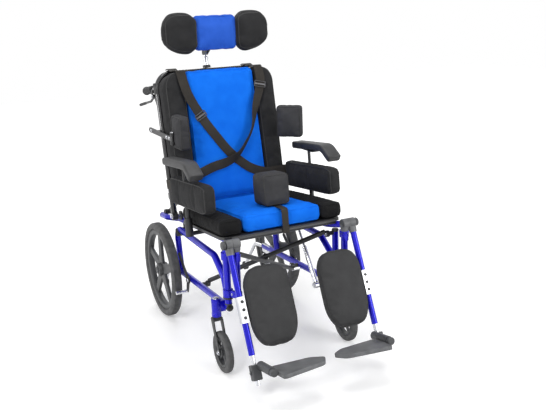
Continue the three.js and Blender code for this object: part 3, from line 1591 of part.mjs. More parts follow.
// Swing-away hangers: a tube beside the front post, held by two collars, with the knee pivot on top
function hanger() {
  const collarOuter = bore(frameTube) + collarWall;
  const pieces = [
    rod(at(hangerX, hangerY, hangerBottomZ), at(hangerX, hangerY, kneeZ), hangerTube, tubeSides),
    crossRod(kneeLugInnerX - hangerTube, kneeLugOuterX, hangerY, kneeZ, kneeLugRadius),
    crossRod(kneeLugInnerX, legDiscOuterX + mate + kneeKnobThickness, hangerY, kneeZ, kneePinRadius),
    crossRod(
      legDiscOuterX + mate, legDiscOuterX + mate + kneeKnobThickness, hangerY, kneeZ, kneeKnobRadius,
    ),
  ];
  const bores = [];
  for (const low of [collarLowZ, collarHighZ]) {
    const high = low + collarHeight;
    pieces.push(rod(at(postX, postY, low), at(postX, postY, high), collarOuter));
    const reach = Math.hypot(postX - hangerX, postY - hangerY);
    const web = block(0, reach, -collarWebHalf, collarWebHalf, low, high);
    web.rotateZ(Math.atan2(hangerY - postY, hangerX - postX)).translate(postX, postY, 0);
    pieces.push(web);
    bores.push(rod(at(postX, postY, low - overrun), at(postX, postY, high + overrun), bore(frameTube)));
  }
  return cut(joined(...pieces), ...bores);
}

addPair(model, 'hanger', hanger(), finishes.candyBlue);

// Leg tubes, in the leg frame: the tube runs down from the knee pivot at the origin
function legTubePart() {
  const sleeveLow = -sleeveTop - sleeveLength;
  const plateBack = calfThickness / 2 - calfForward + mate;
  const pieces = [
    crossRod(kneeLugOuterX + mate, legDiscOuterX, 0, 0, kneeLugRadius),
    rod(at(legX, 0, -legTop), at(legX, 0, -legLength), legTube),
    block(legX - sleeveThin, legX + sleeveThin, -sleeveHalf, sleeveHalf, sleeveLow, -sleeveTop),
    block(
      calfPlateInner, legX, plateBack, plateBack + calfPlateThickness,
      -calfPlateTop - calfPlateLength, -calfPlateTop,
    ),
  ];
  const pinHole = crossRod(kneeLugOuterX - overrun, legDiscOuterX + overrun, 0, 0, bore(kneePinRadius));
  const footBore = rod(
    at(legX, 0, -footTubeTop + footBoreReach), at(legX, 0, -legLength - overrun), bore(footTube),
  );
  return cut(joined(...pieces), pinHole, footBore);
}

addPair(legGroup, 'leg_tube', legTubePart(), finishes.candyBlue);

// Calf pads: wide at the bottom, rounded at both ends
function calfPad() {
  const size = [calfOuter - calfInner, calfThickness, calfLength];
  const pad = padded(size, calfCorner, tallCells, (vertex, half) => {
    const round = vertex.z > 0 ? calfTopRound : calfBottomRound;
    const into = Math.max(0, Math.abs(vertex.z) - (half[2] - round)) / round;
    const front = Math.max(0, -vertex.y / half[1]);
    vertex.x *= 1 - (round / half[0]) * calfRoundShare * (1 - Math.sqrt(Math.max(0, 1 - into * into)));
    vertex.y -= calfCrown * front * swell(vertex.x, half[0]) * swell(vertex.z, half[2]);
  });
  return pad.translate((calfInner + calfOuter) / 2, -calfForward, -calfTop - calfLength / 2);
}

addPair(legGroup, 'calf_pad', calfPad(), finishes.blackCloth);

// Foot tubes with their clamp and the barrel pin that carries the footplate
const plateMatrix = new THREE.Matrix4().makeRotationX(-platePitch).setPosition(barrelX, barrelY, barrelZ);
const legInverse = new THREE.Matrix4().makeRotationX(-legLean).setPosition(0, hangerY, kneeZ).invert();

function footTubePart() {
  const clamp = block(
    legX - clampHalf, legX + clampHalf, -clampHalf, clampHalf, -clampTop - clampLength, -clampTop,
  );
  const toLeg = legInverse.clone().multiply(plateMatrix);
  const pieces = [
    rod(at(0, barrelRootBack, 0), at(0, -barrelRootLength + mate, 0), barrelRadius),
    rod(at(0, 0, 0), at(0, -barrelKnobEnd, 0), barrelPinRadius),
    rod(at(0, -barrelSleeveEnd - mate, 0), at(0, -barrelKnobEnd, 0), barrelKnobRadius),
  ];
  for (const piece of pieces) {
    piece.applyMatrix4(toLeg);
  }
  return joined(rod(at(legX, 0, -footTubeTop), at(legX, 0, -footTubeBottom), footTube), clamp, ...pieces);
}

addPair(legGroup, 'foot_tube', footTubePart(), finishes.steel);

// Footplates: a tapering plate on a sleeve round the barrel pin
function footplate() {
  const outline = plateOutlineShares.map(([across, deep]) => [
    -mix(plateGap, plateTip, across), -deep * plateDepth - plateSetback,
  ]);
  const top = -plateDrop;
  const plate = floorPlate(outline, top - plateThickness, top, plateBevel);
  const sleeve = ring(
    at(0, -barrelRootLength, 0), at(0, -barrelSleeveEnd, 0), barrelRadius, bore(barrelPinRadius),
  );
  const neck = block(
    -plateGap - plateNeckLap, -plateNeckLap, -barrelSleeveEnd, -barrelRootLength,
    top - plateThickness + plateBevel, top,
  );
  const hole = rod(at(0, 0, 0), at(0, -barrelKnobEnd, 0), bore(barrelPinRadius));
  return cut(joined(plate, sleeve, neck), hole).applyMatrix4(plateMatrix);
}

addPair(model, 'footplate', footplate(), finishes.plastic);

// The origin is under the middle of the chair, on the floor
model.updateMatrixWorld(true);
const reachBox = new THREE.Box3().setFromObject(model);
model.position.y = -(reachBox.min.y + reachBox.max.y) / 2;

export default chair;
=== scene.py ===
import math

import bmesh
import bpy
from mathutils import Matrix, Vector


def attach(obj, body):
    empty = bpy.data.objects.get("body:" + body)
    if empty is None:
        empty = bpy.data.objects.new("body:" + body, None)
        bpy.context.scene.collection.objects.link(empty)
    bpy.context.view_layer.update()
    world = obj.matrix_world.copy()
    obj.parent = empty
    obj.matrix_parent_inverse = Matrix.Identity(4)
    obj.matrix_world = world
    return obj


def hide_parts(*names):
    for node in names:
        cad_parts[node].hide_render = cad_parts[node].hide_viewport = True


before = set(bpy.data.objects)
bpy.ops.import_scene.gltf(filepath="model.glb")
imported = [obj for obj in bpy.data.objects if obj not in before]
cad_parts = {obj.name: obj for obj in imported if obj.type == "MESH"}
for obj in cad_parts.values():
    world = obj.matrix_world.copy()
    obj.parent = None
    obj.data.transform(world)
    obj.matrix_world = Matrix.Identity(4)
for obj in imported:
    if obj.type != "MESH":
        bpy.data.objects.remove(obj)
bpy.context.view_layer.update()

# Base side frames. Each is one welded frame of round steel tube, bent cold, with black plastic
# plugs in its open ends. It is lacquered in a clear blue over a metallic ground, which gives a
# deep colour with white highlights. Sizes are in mm, and pairs are places (y, z) seen from the side.
AXLE_Y = 362.301
AXLE_Z = 200
SIDES = (("right", 1), ("left", -1))
FRAME_TUBE = 12.5
RAIL_X = 221.5
LOWER_REAR, LOWER_FRONT = (30, 205), (-610, 238)
STEM_X, STEM_Y = 255, -575
ROLLER_X = 200
TILT_PIVOT = (-120, 388)
TILT_FOOT, TILT_HEAD = (-560, 225), (-400, 452)
BRACE_TOP, BRACE_FOOT = (-610, 440), (-317, 222.5)
X_WAY, Y_WAY, Z_WAY = Vector((1, 0, 0)), Vector((0, 1, 0)), Vector((0, 0, 1))


def at(x, y, z):
    """A place in mm from the middle between the rear wheels, in metres in the chair's frame."""
    return Vector((x, y + AXLE_Y, z)) / 1000


def mm(x, y, z):
    return Vector((x, y, z)) / 1000


def mix(a, b, share):
    return a + (b - a) * share


def mirrored(placing, side):
    """The placing of a piece on the right, or its mirror image for the left."""
    return Matrix.Scale(-1, 4, X_WAY) @ placing if side < 0 else placing


def lower_rail_z(y):
    return mix(LOWER_REAR[1], LOWER_FRONT[1], (LOWER_REAR[0] - y) / (LOWER_REAR[0] - LOWER_FRONT[0]))


LOCK_PIVOT = (-235, lower_rail_z(-235))


# A skin is a list of rings of points and whether its end joins its start. These make skins.
def ring_of(middle, side, up, radius, sides):
    turns = [2 * math.pi * j / sides for j in range(sides)]
    return [middle + (side * math.cos(a) + up * math.sin(a)) * radius / 1000 for a in turns]


def heading(points, k):
    """The way that a line of points runs at one of them."""
    return (points[min(k + 1, len(points) - 1)] - points[max(k - 1, 0)]).normalized()


def bent(corners, bend):
    """The corners' straight runs joined by arcs of the given radius in mm."""
    points = [corners[0]]
    for before, corner, after in zip(corners, corners[1:], corners[2:]):
        arriving = (corner - before).normalized()
        leaving = (after - corner).normalized()
        turn = arriving.angle(leaving)
        axis = arriving.cross(leaving).normalized()
        start = corner - arriving * (bend / 1000 * math.tan(turn / 2))
        centre = start + axis.cross(arriving) * (bend / 1000)
        steps = max(2, math.ceil(math.degrees(turn) / 8))
        for k in range(steps + 1):
            points.append(centre + Matrix.Rotation(turn * k / steps, 3, axis) @ (start - centre))
    return points + [corners[-1]]


def tube(corners, radius, bend=0, sides=24):
    """A round tube or bar along straight runs with bends."""
    points = bent(corners, bend) if bend else corners
    side = (points[1] - points[0]).normalized().orthogonal().normalized()
    rings = []
    for k, point in enumerate(points):
        ahead = heading(points, k)
        side = (side - ahead * side.dot(ahead)).normalized()
        rings.append(ring_of(point, side, ahead.cross(side), radius, sides))
    return rings, False


def turned(centre, axis, profile, sides=48, closed=False):
    """A turned body: the profile holds (distance along the axis, radius)."""
    axis = axis.normalized()
    side = axis.orthogonal().normalized()
    up = axis.cross(side)
    return [ring_of(centre + axis * along / 1000, side, up, radius, sides)
            for along, radius in profile], closed


def pipe(centre, axis, low, high, radius, bore, sides=36):
    """A turned body with an open bore, from low to high along its axis."""
    return turned(centre, axis, [(low, radius), (high, radius), (high, bore), (low, bore)], sides, True)


def sleeve(foot, head, radius, bore):
    return pipe(foot, head - foot, 0, (head - foot).length * 1000, radius, bore)


def across(x_from, x_to, y, z, radius):
    """A pin, boss or roller along X."""
    return tube([at(x_from, y, z), at(x_to, y, z)], radius)


def section(middle, u, v, half_u, half_v, corner, steps=4):
    """A ring of points round a rectangle with round corners."""
    ring = []
    for start, su, sv in ((0, 1, 1), (90, -1, 1), (180, -1, -1), (270, 1, -1)):
        for k in range(steps + 1):
            a = math.radians(start + 90 * k / steps)
            x = su * (half_u - corner) + corner * math.cos(a)
            y = sv * (half_v - corner) + corner * math.sin(a)
            ring.append(middle + (u * x + v * y) / 1000)
    return ring


def tapered(stops, u, v, half_u, corner, steps=4):
    """A bar through stops of a place and half a width along v."""
    return [section(place, u, v, half_u, half_v, corner, steps) for place, half_v in stops], False


def bar(ends, u, v, half_u, half_v, corner, steps=4):
    return tapered([(end, half_v) for end in ends], u, v, half_u, corner, steps)


def plate_across(x_from, x_to, outline):
    """A plate along X with its outline seen from the side."""
    return [[at(x, y, z) for y, z in outline] for x in (x_from, x_to)], False


def bolt_head(middle, way, radius, height):
    """A hexagon bolt head on a thin washer."""
    return [tube([middle, middle + way * 0.0008], radius * 1.35),
            tube([middle, middle + way * (height / 1000)], radius, 0, 6)]


def flat(skins):
    """The skins in a list that may hold lists of them."""
    return [skin for part in skins for skin in (flat(part) if isinstance(part, list) else [part])]


def joined(skins):
    """A mesh of skins: each joins its rings, with flat ends or end to start."""
    shape = bmesh.new()
    for rings, closed in flat(skins):
        made = [[shape.verts.new(point) for point in ring] for ring in rings]
        for ring, after in zip(made, made[1:] + made[:1] if closed else made[1:]):
            for k, vertex in enumerate(ring):
                j = (k + 1) % len(ring)
                shape.faces.new((vertex, ring[j], after[j], after[k]))
        if not closed:
            shape.faces.new(made[0])
            shape.faces.new(made[-1][::-1])
    return shape


def bare_piece(name, shape, finish):
    bmesh.ops.recalc_face_normals(shape, faces=shape.faces)
    mesh = bpy.data.meshes.new(name)
    shape.to_mesh(mesh)
    shape.free()
    mesh.shade_smooth()
    mesh.set_sharp_from_angle(angle=math.radians(38))
    mesh.materials.append(finish)
    made = bpy.data.objects.new(name, mesh)
    bpy.context.scene.collection.objects.link(made)
    return made


def fit(made, body, replaced=None):
    """Makes an object move with a body, and stand for a CAD node."""
    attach(made, body)
    if replaced:
        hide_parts(replaced)


def piece(name, finish, body, skins, replaced=None, edge=0.8):
    """A hard piece of skins with small round edges."""
    made = bare_piece(name, joined(skins), finish)
    if edge:
        rounding = made.modifiers.new("edges", "BEVEL")
        rounding.width = edge / 1000
        rounding.segments = 2
        rounding.limit_method = "ANGLE"
        rounding.angle_limit = math.radians(42)
        rounding.harden_normals = True
    fit(made, body, replaced)


def from_hex(text):
    """An sRGB hex colour as linear red, green, blue and alpha."""
    shares = [int(text[k:k + 2], 16) / 255 for k in (1, 3, 5)]
    return tuple(c / 12.92 if c <= 0.04045 else ((c + 0.055) / 1.055) ** 2.4 for c in shares) + (1,)


def node(tree, kind, inputs=None, **settings):
    """Adds a shader node with its settings and the values or links of its inputs."""
    made = tree.nodes.new("ShaderNode" + kind)
    for name, value in settings.items():
        setattr(made, name, value)
    for name, value in (inputs or {}).items():
        if isinstance(value, bpy.types.NodeSocket):
            tree.links.new(value, made.inputs[name])
        else:
            made.inputs[name].default_value = value
    return made


def grain(tree, place, size_mm, detail):
    """Noise whose features measure about the given size."""
    return node(tree, "TexNoise", {"Vector": place, "Scale": 1 / size_mm, "Detail": detail}).outputs["Fac"]


def add_bump(tree, height, depth_mm):
    bump = node(tree, "Bump", {"Height": height, "Distance": depth_mm / 1000})
    tree.links.new(bump.outputs["Normal"], tree.nodes["Principled BSDF"].inputs["Normal"])


def new_finish(name, colour, roughness, tint=None, gloss=None, relief=None, **sockets):
    """A finish whose patterns are laid out in mm. Each begins with the size and detail of its
    grain. Tint goes on with two hex colours, gloss with two roughnesses, relief with a depth."""
    finish = bpy.data.materials.new(name)
    finish.use_nodes = True
    tree = finish.node_tree
    shader = tree.nodes["Principled BSDF"]
    shader.inputs["Base Color"].default_value = from_hex(colour)
    shader.inputs["Roughness"].default_value = roughness
    for socket, value in sockets.items():
        shader.inputs[socket.replace("_", " ")].default_value = value
    coordinates = node(tree, "TexCoord").outputs["Object"]
    place = node(tree, "Mapping", {"Vector": coordinates, "Scale": (1000, 1000, 1000)}).outputs["Vector"]
    if tint:
        ramp = node(tree, "ValToRGB", {"Fac": grain(tree, place, *tint[:2])})
        stops = ramp.color_ramp.elements
        stops[0].color, stops[1].color = from_hex(tint[2]), from_hex(tint[3])
        stops[0].position, stops[1].position = 0.3, 0.7
        tree.links.new(ramp.outputs["Color"], shader.inputs["Base Color"])
    if gloss:
        spread = node(tree, "MapRange", {"Value": grain(tree, place, *gloss[:2]),
                                         "To Min": gloss[2], "To Max": gloss[3]})
        tree.links.new(spread.outputs["Result"], shader.inputs["Roughness"])
    if relief:
        add_bump(tree, grain(tree, place, *relief[:2]), relief[2])
    return finish


# Candy lacquer: blue flakes of 0.2 mm drawn 1.2 mm wide to show, under a glossy clear coat
candy_lacquer = new_finish(
    "candy_blue_lacquer", "#0c09a8", 0.24, tint=(1.2, 3, "#08067e", "#110dd4"), gloss=(30, 3, 0.22, 0.36),
    Metallic=0.4, Specular_IOR_Level=0.25, Coat_Weight=0.35, Coat_Roughness=0.05)

# Powder coat on steel brackets: black, with the fine orange peel that sprayed powder leaves
powder_coat = new_finish("black_powder_coat_steel", "#1d1d1f", 0.42, tint=(25, 3, "#161617", "#262628"),
                         gloss=(25, 3, 0.36, 0.52), relief=(1.6, 3, 0.08))

# Zinc-plated and polished steel: bright bolts, pins and rods with faint drawing lines
plated_steel = new_finish("plated_polished_steel", "#cfd0d4", 0.2, gloss=(12, 3, 0.14, 0.3),
                          relief=(0.7, 6, 0.02), Metallic=1.0)

# Injection-moulded nylon: plugs, caps and clamps, charcoal with a spark-eroded texture
moulded_nylon = new_finish("moulded_charcoal_nylon", "#38393b", 0.5, tint=(40, 3, "#313234", "#3f4043"),
                           gloss=(40, 3, 0.44, 0.6), relief=(0.9, 3, 0.06))

for label, side in SIDES:
    rail, stem = side * RAIL_X, side * STEM_X
    upper = [(-107, lower_rail_z(-107)), (-83, 400), (-500, 400), (-582, 345), (-606, 285)]
    housing = [(0, 8.6), (0, 16), (2, 18), (14, 18), (15, 17), (53, 17), (54, 18), (66, 18), (68, 16),
               (68, 8.6)]
    piece(f"base_tubes_{label}", candy_lacquer, "base", [
        tube([at(rail, y, z) for y, z in upper], FRAME_TUBE, 45),
        tube([at(rail, *LOWER_REAR), at(rail, *LOWER_FRONT)], FRAME_TUBE),
        tube([at(rail, -610, 236), at(rail, -610, 447)], FRAME_TUBE),
        tube([at(rail, -606, 300), at(rail, -608, 240)], FRAME_TUBE - 0.4),
        turned(at(stem, STEM_Y, 197), Z_WAY, housing, 36, True),
        bar([at(x, STEM_Y, 233) for x in (rail, side * 241)], Y_WAY, Z_WAY, 9, 20, 3),
    ], f"base_frame_{label}")
    piece(f"base_fittings_{label}", powder_coat, "base", [
        turned(at(rail, -610, 447), Z_WAY, [(-6, 11), (0, 13.2), (5, 13.2), (8, 11), (9, 6)]),
        turned(at(rail, *LOWER_FRONT), Vector((0, -1, 0.05)), [(6, 11), (11, 12.9), (15, 12.9), (17, 9)]),
        turned(at(rail, *LOWER_REAR), Y_WAY, [(-4, 11), (0, 13), (4, 13), (6, 9)]),
        across(side * 201, side * 236, *TILT_PIVOT, 17),
        across(side * 182, rail, *BRACE_TOP, 8),
        across(side * 182, rail, *BRACE_FOOT, 8),
        across(rail, side * 246.5, *LOCK_PIVOT, 5),
    ])
    piece(f"base_bolts_{label}", plated_steel, "base", [
        across(rail, side * 249.2, 0, AXLE_Z, 13),
        across(rail, side * 295, 0, AXLE_Z, 6),
        across(side * 187.7, rail, *TILT_PIVOT, 6),
        bolt_head(at(side * 191.7, *TILT_PIVOT), -side * X_WAY, 9, 4),
        turned(at(stem, STEM_Y, 256), Z_WAY, [(0, 7), (9, 7), (9.5, 12), (11, 12), (13, 9)]),
        turned(at(side * 252.7, *LOCK_PIVOT), -side * X_WAY, [(6, 7), (8, 7)]),
        [across(150.7, RAIL_X, *TILT_FOOT, 6), bolt_head(at(154.7, *TILT_FOOT), -X_WAY, 9, 5)]
        if side > 0 else [],
    ], edge=0.5)


# Axle plates and anti-tip legs. The plate is sawn and tumbled aluminium bar with three bolts
# through the rail; the leg is plain plated tube with a rubber roller on its end.
tumbled_aluminium = new_finish("tumbled_aluminium", "#d4d5d8", 0.36, gloss=(1.4, 5, 0.28, 0.46),
                               relief=(1.4, 5, 0.05), Metallic=1.0)

# Black rubber: matt, with a bloom that turns it grey in the light
black_rubber = new_finish("black_rubber", "#262627", 0.75, tint=(8, 3, "#202021", "#303032"),
                          relief=(0.8, 3, 0.05))

for label, side in SIDES:
    rail, roller = side * RAIL_X, at(side * ROLLER_X, 205, 62)
    piece(f"axle_plate_{label}", tumbled_aluminium, "base", [
        bar([at(x, -6, AXLE_Z) for x in (rail - 7, rail + 7)], Y_WAY, Z_WAY, 42, 20, 7),
    ], edge=1.2)
    piece(f"anti_tip_leg_{label}", plated_steel, "base", [
        [bolt_head(at(rail + way * 7, y, AXLE_Z), way * X_WAY, 5, 3) for y in (-38, -20, 26)
         for way in (-1, 1)],
        tube([at(rail, 17, 205), at(side * ROLLER_X, 80, 208), roller], 8, 25),
    ], edge=0.5)
    piece(f"anti_tip_roller_{label}", black_rubber, "base", [
        turned(roller, X_WAY, [(-10, 8), (-10, 18), (-8, 20), (8, 20), (10, 18), (10, 8)]),
    ])


# Crossed brace. Two black steel tubes with a lug welded to each end cross behind the leg rests,
# and one bolt holds them at the middle.
brace_plane = Vector((0, BRACE_FOOT[0] - BRACE_TOP[0], BRACE_FOOT[1] - BRACE_TOP[1]))
brace_normal = Vector((0, -brace_plane.z, brace_plane.y)).normalized()
brace_centre = mix(at(0, *BRACE_TOP), at(0, *BRACE_FOOT), 0.5)

for name, way in (("a", 1), ("b", -1)):
    lift = brace_normal * (way * 9.6 / 1000)
    piece(f"brace_tube_{name}", powder_coat, "base", [
        tube([at(way * 181, *BRACE_TOP) + lift, at(-way * 181, *BRACE_FOOT) + lift], 9),
        across(way * 180, way * 193, *BRACE_TOP, 12.5),
        across(-way * 180, -way * 193, *BRACE_FOOT, 12.5),
    ], f"brace_bar_{name}")

piece("brace_bolts", plated_steel, "base", [
    [[bolt_head(brace_centre + brace_normal * (way * 18.6 / 1000), brace_normal * way, 8, 5),
      bolt_head(at(way * 180, *BRACE_TOP), -way * X_WAY, 6, 4),
      bolt_head(at(way * 180, *BRACE_FOOT), -way * X_WAY, 6, 4)] for way in (-1, 1)],
], edge=0.5)


# Rear wheels. A puncture-proof grey rubber tyre is stretched over a wheel moulded in one piece
# from glass-filled nylon, with five broad spokes and a hub that runs on a fixed axle.
WHEEL_X = 271.5

# Tyre rubber: grey and dusty, ribbed round its tread, lighter where the tread meets the floor
tyre_rubber = new_finish("grey_tyre_rubber", "#4c4c4d", 0.8, tint=(18, 5, "#424243", "#585858"),
                         relief=(1.1, 4, 0.12))

# Glass-filled nylon: charcoal, with the cloudy flow marks of a thick moulding
filled_nylon = new_finish("glass_filled_nylon", "#353638", 0.48, tint=(35, 4, "#2b2c2e", "#3e3f41"),
                          gloss=(35, 4, 0.4, 0.58), relief=(0.8, 3, 0.04))


def tyre(centre, rim, radius, width, grooves, sides):
    """A tyre with a rounded tread, side walls and round grooves."""
    half, depth, crown = width / 2, radius - rim, 1.6
    edge = [(-0.6 * half, rim), (-0.86 * half, rim + 0.12 * depth), (-half, rim + 0.5 * depth),
            (-0.9 * half, rim + 0.78 * depth), (-0.68 * half, rim + 0.93 * depth)]
    tread = [((share + step) * half, radius - crown * share ** 2 - drop) for share in grooves
             for step, drop in ((-0.05, 0), (-0.03, 1.6), (0.03, 1.6), (0.05, 0))]
    far_edge = [(-along, out) for along, out in reversed(edge)]
    return turned(centre, X_WAY, edge + tread + far_edge, sides, True)


def spokes(centre, hub, rim, root_width, tip_width, thickness):
    """Five moulded spokes that flare into the hub and the rim."""
    made = []
    for k in range(5):
        angle = 2 * math.pi * k / 5 + math.pi / 2
        out = Vector((0, math.cos(angle), math.sin(angle)))
        stops = [(centre + out * (mix(hub, rim, share) / 1000), mix(root_width, tip_width, share) * flare / 2)
                 for share, flare in ((0, 1.25), (0.08, 1.05), (0.3, 1.0), (0.7, 1.0), (0.9, 1.1), (1, 1.45))]
        made.append(tapered(stops, X_WAY, X_WAY.cross(out), thickness / 2, 3, 3))
    return made


for label, side in SIDES:
    centre, wheel = at(side * WHEEL_X, 0, AXLE_Z), f"rear_wheel_{label}"
    rim = [(-12.5, 153), (-14, 160), (-14, 169), (-12, 171.5), (12, 171.5), (14, 169), (14, 160),
           (12.5, 153), (8, 150.5), (-8, 150.5)]
    hub = [(-22, 20), (-21, 25), (-16, 28), (16, 28), (21, 25), (22, 20), (22, 7), (-22, 7)]
    piece(f"rear_tyre_skin_{label}", tyre_rubber, wheel, [
        tyre(centre, 171.8, 200, 42, (-0.5, -0.25, 0, 0.25, 0.5), 96),
    ], f"rear_tyre_{label}", edge=0)
    piece(f"rear_wheel_moulding_{label}", filled_nylon, wheel, [
        turned(centre, X_WAY, rim, 96, True),
        turned(centre, X_WAY, hub, 48, True),
        spokes(centre, 24, 153, 44, 28, 13),
    ], wheel, edge=1.5)
    piece(f"axle_cap_{label}", moulded_nylon, "base", [
        turned(at(side * 293.6, 0, AXLE_Z), side * X_WAY, [(0, 15), (2.4, 15), (4.4, 12), (5, 5)]),
    ], edge=0.4)


# Casters. The fork is pressed steel, painted black, with a round stem in the frame's housing;
# the wheel is moulded with five spokes and a thin solid tyre, on one bolt.
CASTER_AXLE = (-620, 76)

for label, side in SIDES:
    x, fork, wheel = side * STEM_X, f"caster_fork_{label}", f"caster_wheel_{label}"
    centre = at(x, *CASTER_AXLE)
    leg = [(188, -575, 15), (160, -585, 13.5), (110, -606, 11), (84, -617, 11), (70, -620, 10), (66, -620, 6)]
    piece(f"caster_fork_pressing_{label}", powder_coat, fork, [
        [tapered([(at(x + way * 17, y, z), half) for z, y, half in leg], X_WAY, Y_WAY, 2, 1.6, 3)
         for way in (-1, 1)],
        bar([at(x, STEM_Y, z) for z in (183, 192)], X_WAY, Y_WAY, 19, 15, 6),
        turned(at(x, STEM_Y, 190), Z_WAY, [(0, 14), (6.7, 14), (6.7, 8), (66, 8)]),
    ], fork, edge=1.0)
    piece(f"caster_axle_{label}", plated_steel, fork, [
        across(x - 22, x + 22, *CASTER_AXLE, 4.5),
        [bolt_head(at(x + way * 19, *CASTER_AXLE), way * X_WAY, 6.5, 4.5) for way in (-1, 1)],
    ], edge=0.5)
    piece(f"caster_tyre_{label}", tyre_rubber, wheel, [
        tyre(centre, 54.3, 76, 26, (-0.35, 0, 0.35), 72),
    ], wheel, edge=0)
    rim = [(-10, 46), (-11, 50), (-10, 54), (10, 54), (11, 50), (10, 46)]
    hub = [(-13, 12), (-11, 15), (11, 15), (13, 12), (13, 5.3), (-13, 5.3)]
    piece(f"caster_moulding_{label}", filled_nylon, wheel, [
        turned(centre, X_WAY, rim, 72, True),
        turned(centre, X_WAY, hub, 36, True),
        spokes(centre, 12, 48, 15, 11, 9),
    ])


# Wheel locks. A steel lever turns on a pin in the lower rail and pushes a short bar against the
# tyre; its handle carries a soft black tip.
LOCK_X = 239
LOCK_SHOE = (-218, 167)

for label, side in SIDES:
    body = f"wheel_lock_{label}"
    pivot, shoe, grip = (at(side * LOCK_X, *end) for end in (LOCK_PIVOT, LOCK_SHOE, (-140, 305)))
    piece(f"wheel_lock_plate_{label}", powder_coat, body, [
        across(side * 235.5, side * 242.5, *LOCK_PIVOT, 14),
        [tapered([(pivot, 12), (end, half)], X_WAY, (end - pivot).normalized().cross(X_WAY), 3, 2.4, 3)
         for end, half in ((shoe, 8), (grip, 7))],
    ], body)
    piece(f"wheel_lock_bar_{label}", plated_steel, body, [
        across(side * 236, side * 288, *LOCK_SHOE, 7),
        bolt_head(at(side * 242.5, *LOCK_PIVOT), side * X_WAY, 7, 4),
    ], edge=0.6)
    grip_from = mix(pivot, grip, 0.68)
    length = (grip - grip_from).length * 1000
    tip = [(0, 4), (3, 6), (length - 4, 6.2), (length + 1, 4.5), (length + 2, 2)]
    piece(f"wheel_lock_tip_{label}", black_rubber, body, [
        turned(grip_from, grip - grip_from, tip, 24),
    ])


# Tilt spring. A gas spring under the seat on the right holds the tilt: a bright cylinder on a pin
# in the base and a polished rod on a pin in the seat frame.
TILT_X = 165
foot, head = at(TILT_X, *TILT_FOOT), at(TILT_X, *TILT_HEAD)
way = (head - foot).normalized()
piece("tilt_spring_cylinder", plated_steel, "tilt_cylinder", [
    pipe(foot, way, 12, 160, 9, 5.4),
    pipe(foot, X_WAY, -10, 10, 12, 6.4),
], "tilt_cylinder")
piece("tilt_spring_rod", plated_steel, "tilt_rod", [
    tube([head - way * 0.012, head - way * 0.245], 5),
    pipe(head, X_WAY, -6, 6, 14, 9.5),
], "tilt_rod")


# Recline springs. Each side has a black gas spring between the seat rail and the back cane, with
# a polished rod and pressed eyes.
BACK_LEAN = math.radians(10.8)
BACK_HINGE = (-91, 450)
CANE_X = 230
RECLINE_X = 200
RECLINE_FOOT = (60, 430)
RECLINE_UP = 70
back_frame = Matrix.Translation(at(0, *BACK_HINGE)) @ Matrix.Rotation(-BACK_LEAN, 4, "X")
back_turn = back_frame.to_3x3()
front_of_back, top_of_back = back_turn @ -Y_WAY, back_turn @ Z_WAY


def back_point(x, forward, up):
    return back_frame @ mm(x, -forward, up)


for label, side in SIDES:
    foot, head = at(side * RECLINE_X, *RECLINE_FOOT), back_point(side * RECLINE_X, 0, RECLINE_UP)
    way = (head - foot).normalized()
    cylinder, rod = f"recline_cylinder_{label}", f"recline_rod_{label}"
    piece(f"recline_spring_cylinder_{label}", powder_coat, cylinder, [
        pipe(foot, way, 10, 95, 10, 4.9),
        pipe(foot, X_WAY, -10.5, 10.5, 11, 6.2),
    ], cylinder)
    piece(f"recline_spring_rod_{label}", plated_steel, rod, [
        tube([head - way * 0.009, head - way * 0.102], 4.5),
        pipe(head, X_WAY, -6, 6, 11, 7),
    ], rod)


# Seat frame. Two tube rails slope up to the front and carry the hinge of the back, the tilt
# pivot, the armrest sockets and an upright post each for the leg rests.
SEAT_SLOPE = math.radians(5.32)
SEAT_REAR = (90, 410)
POST_X, POST_Y = 236, -650
SOCKET_X, SOCKET_FORWARD = 264, 458
END_CAP = [(-4, 11), (0, 13.2), (4, 13), (6, 8)]
seat_frame = Matrix.Translation(at(0, *SEAT_REAR)) @ Matrix.Rotation(-SEAT_SLOPE, 4, "X")


def seat_point(x, forward, up):
    return seat_frame @ mm(x, -forward, up)


def seat_rail_z(y):
    return SEAT_REAR[1] + (SEAT_REAR[0] - y) * math.tan(SEAT_SLOPE)


def ear(x_from, x_to, y, z, radius, foot_z, foot_half):
    """A plate along X that is round about a pin and runs up or down to its foot."""
    way = 1 if foot_z > z else -1
    arc = [math.pi * k / 16 for k in range(17)]
    outline = [(y + radius * math.cos(a), z - way * radius * math.sin(a)) for a in arc]
    return plate_across(x_from, x_to, outline + [(y - foot_half, foot_z), (y + foot_half, foot_z)])


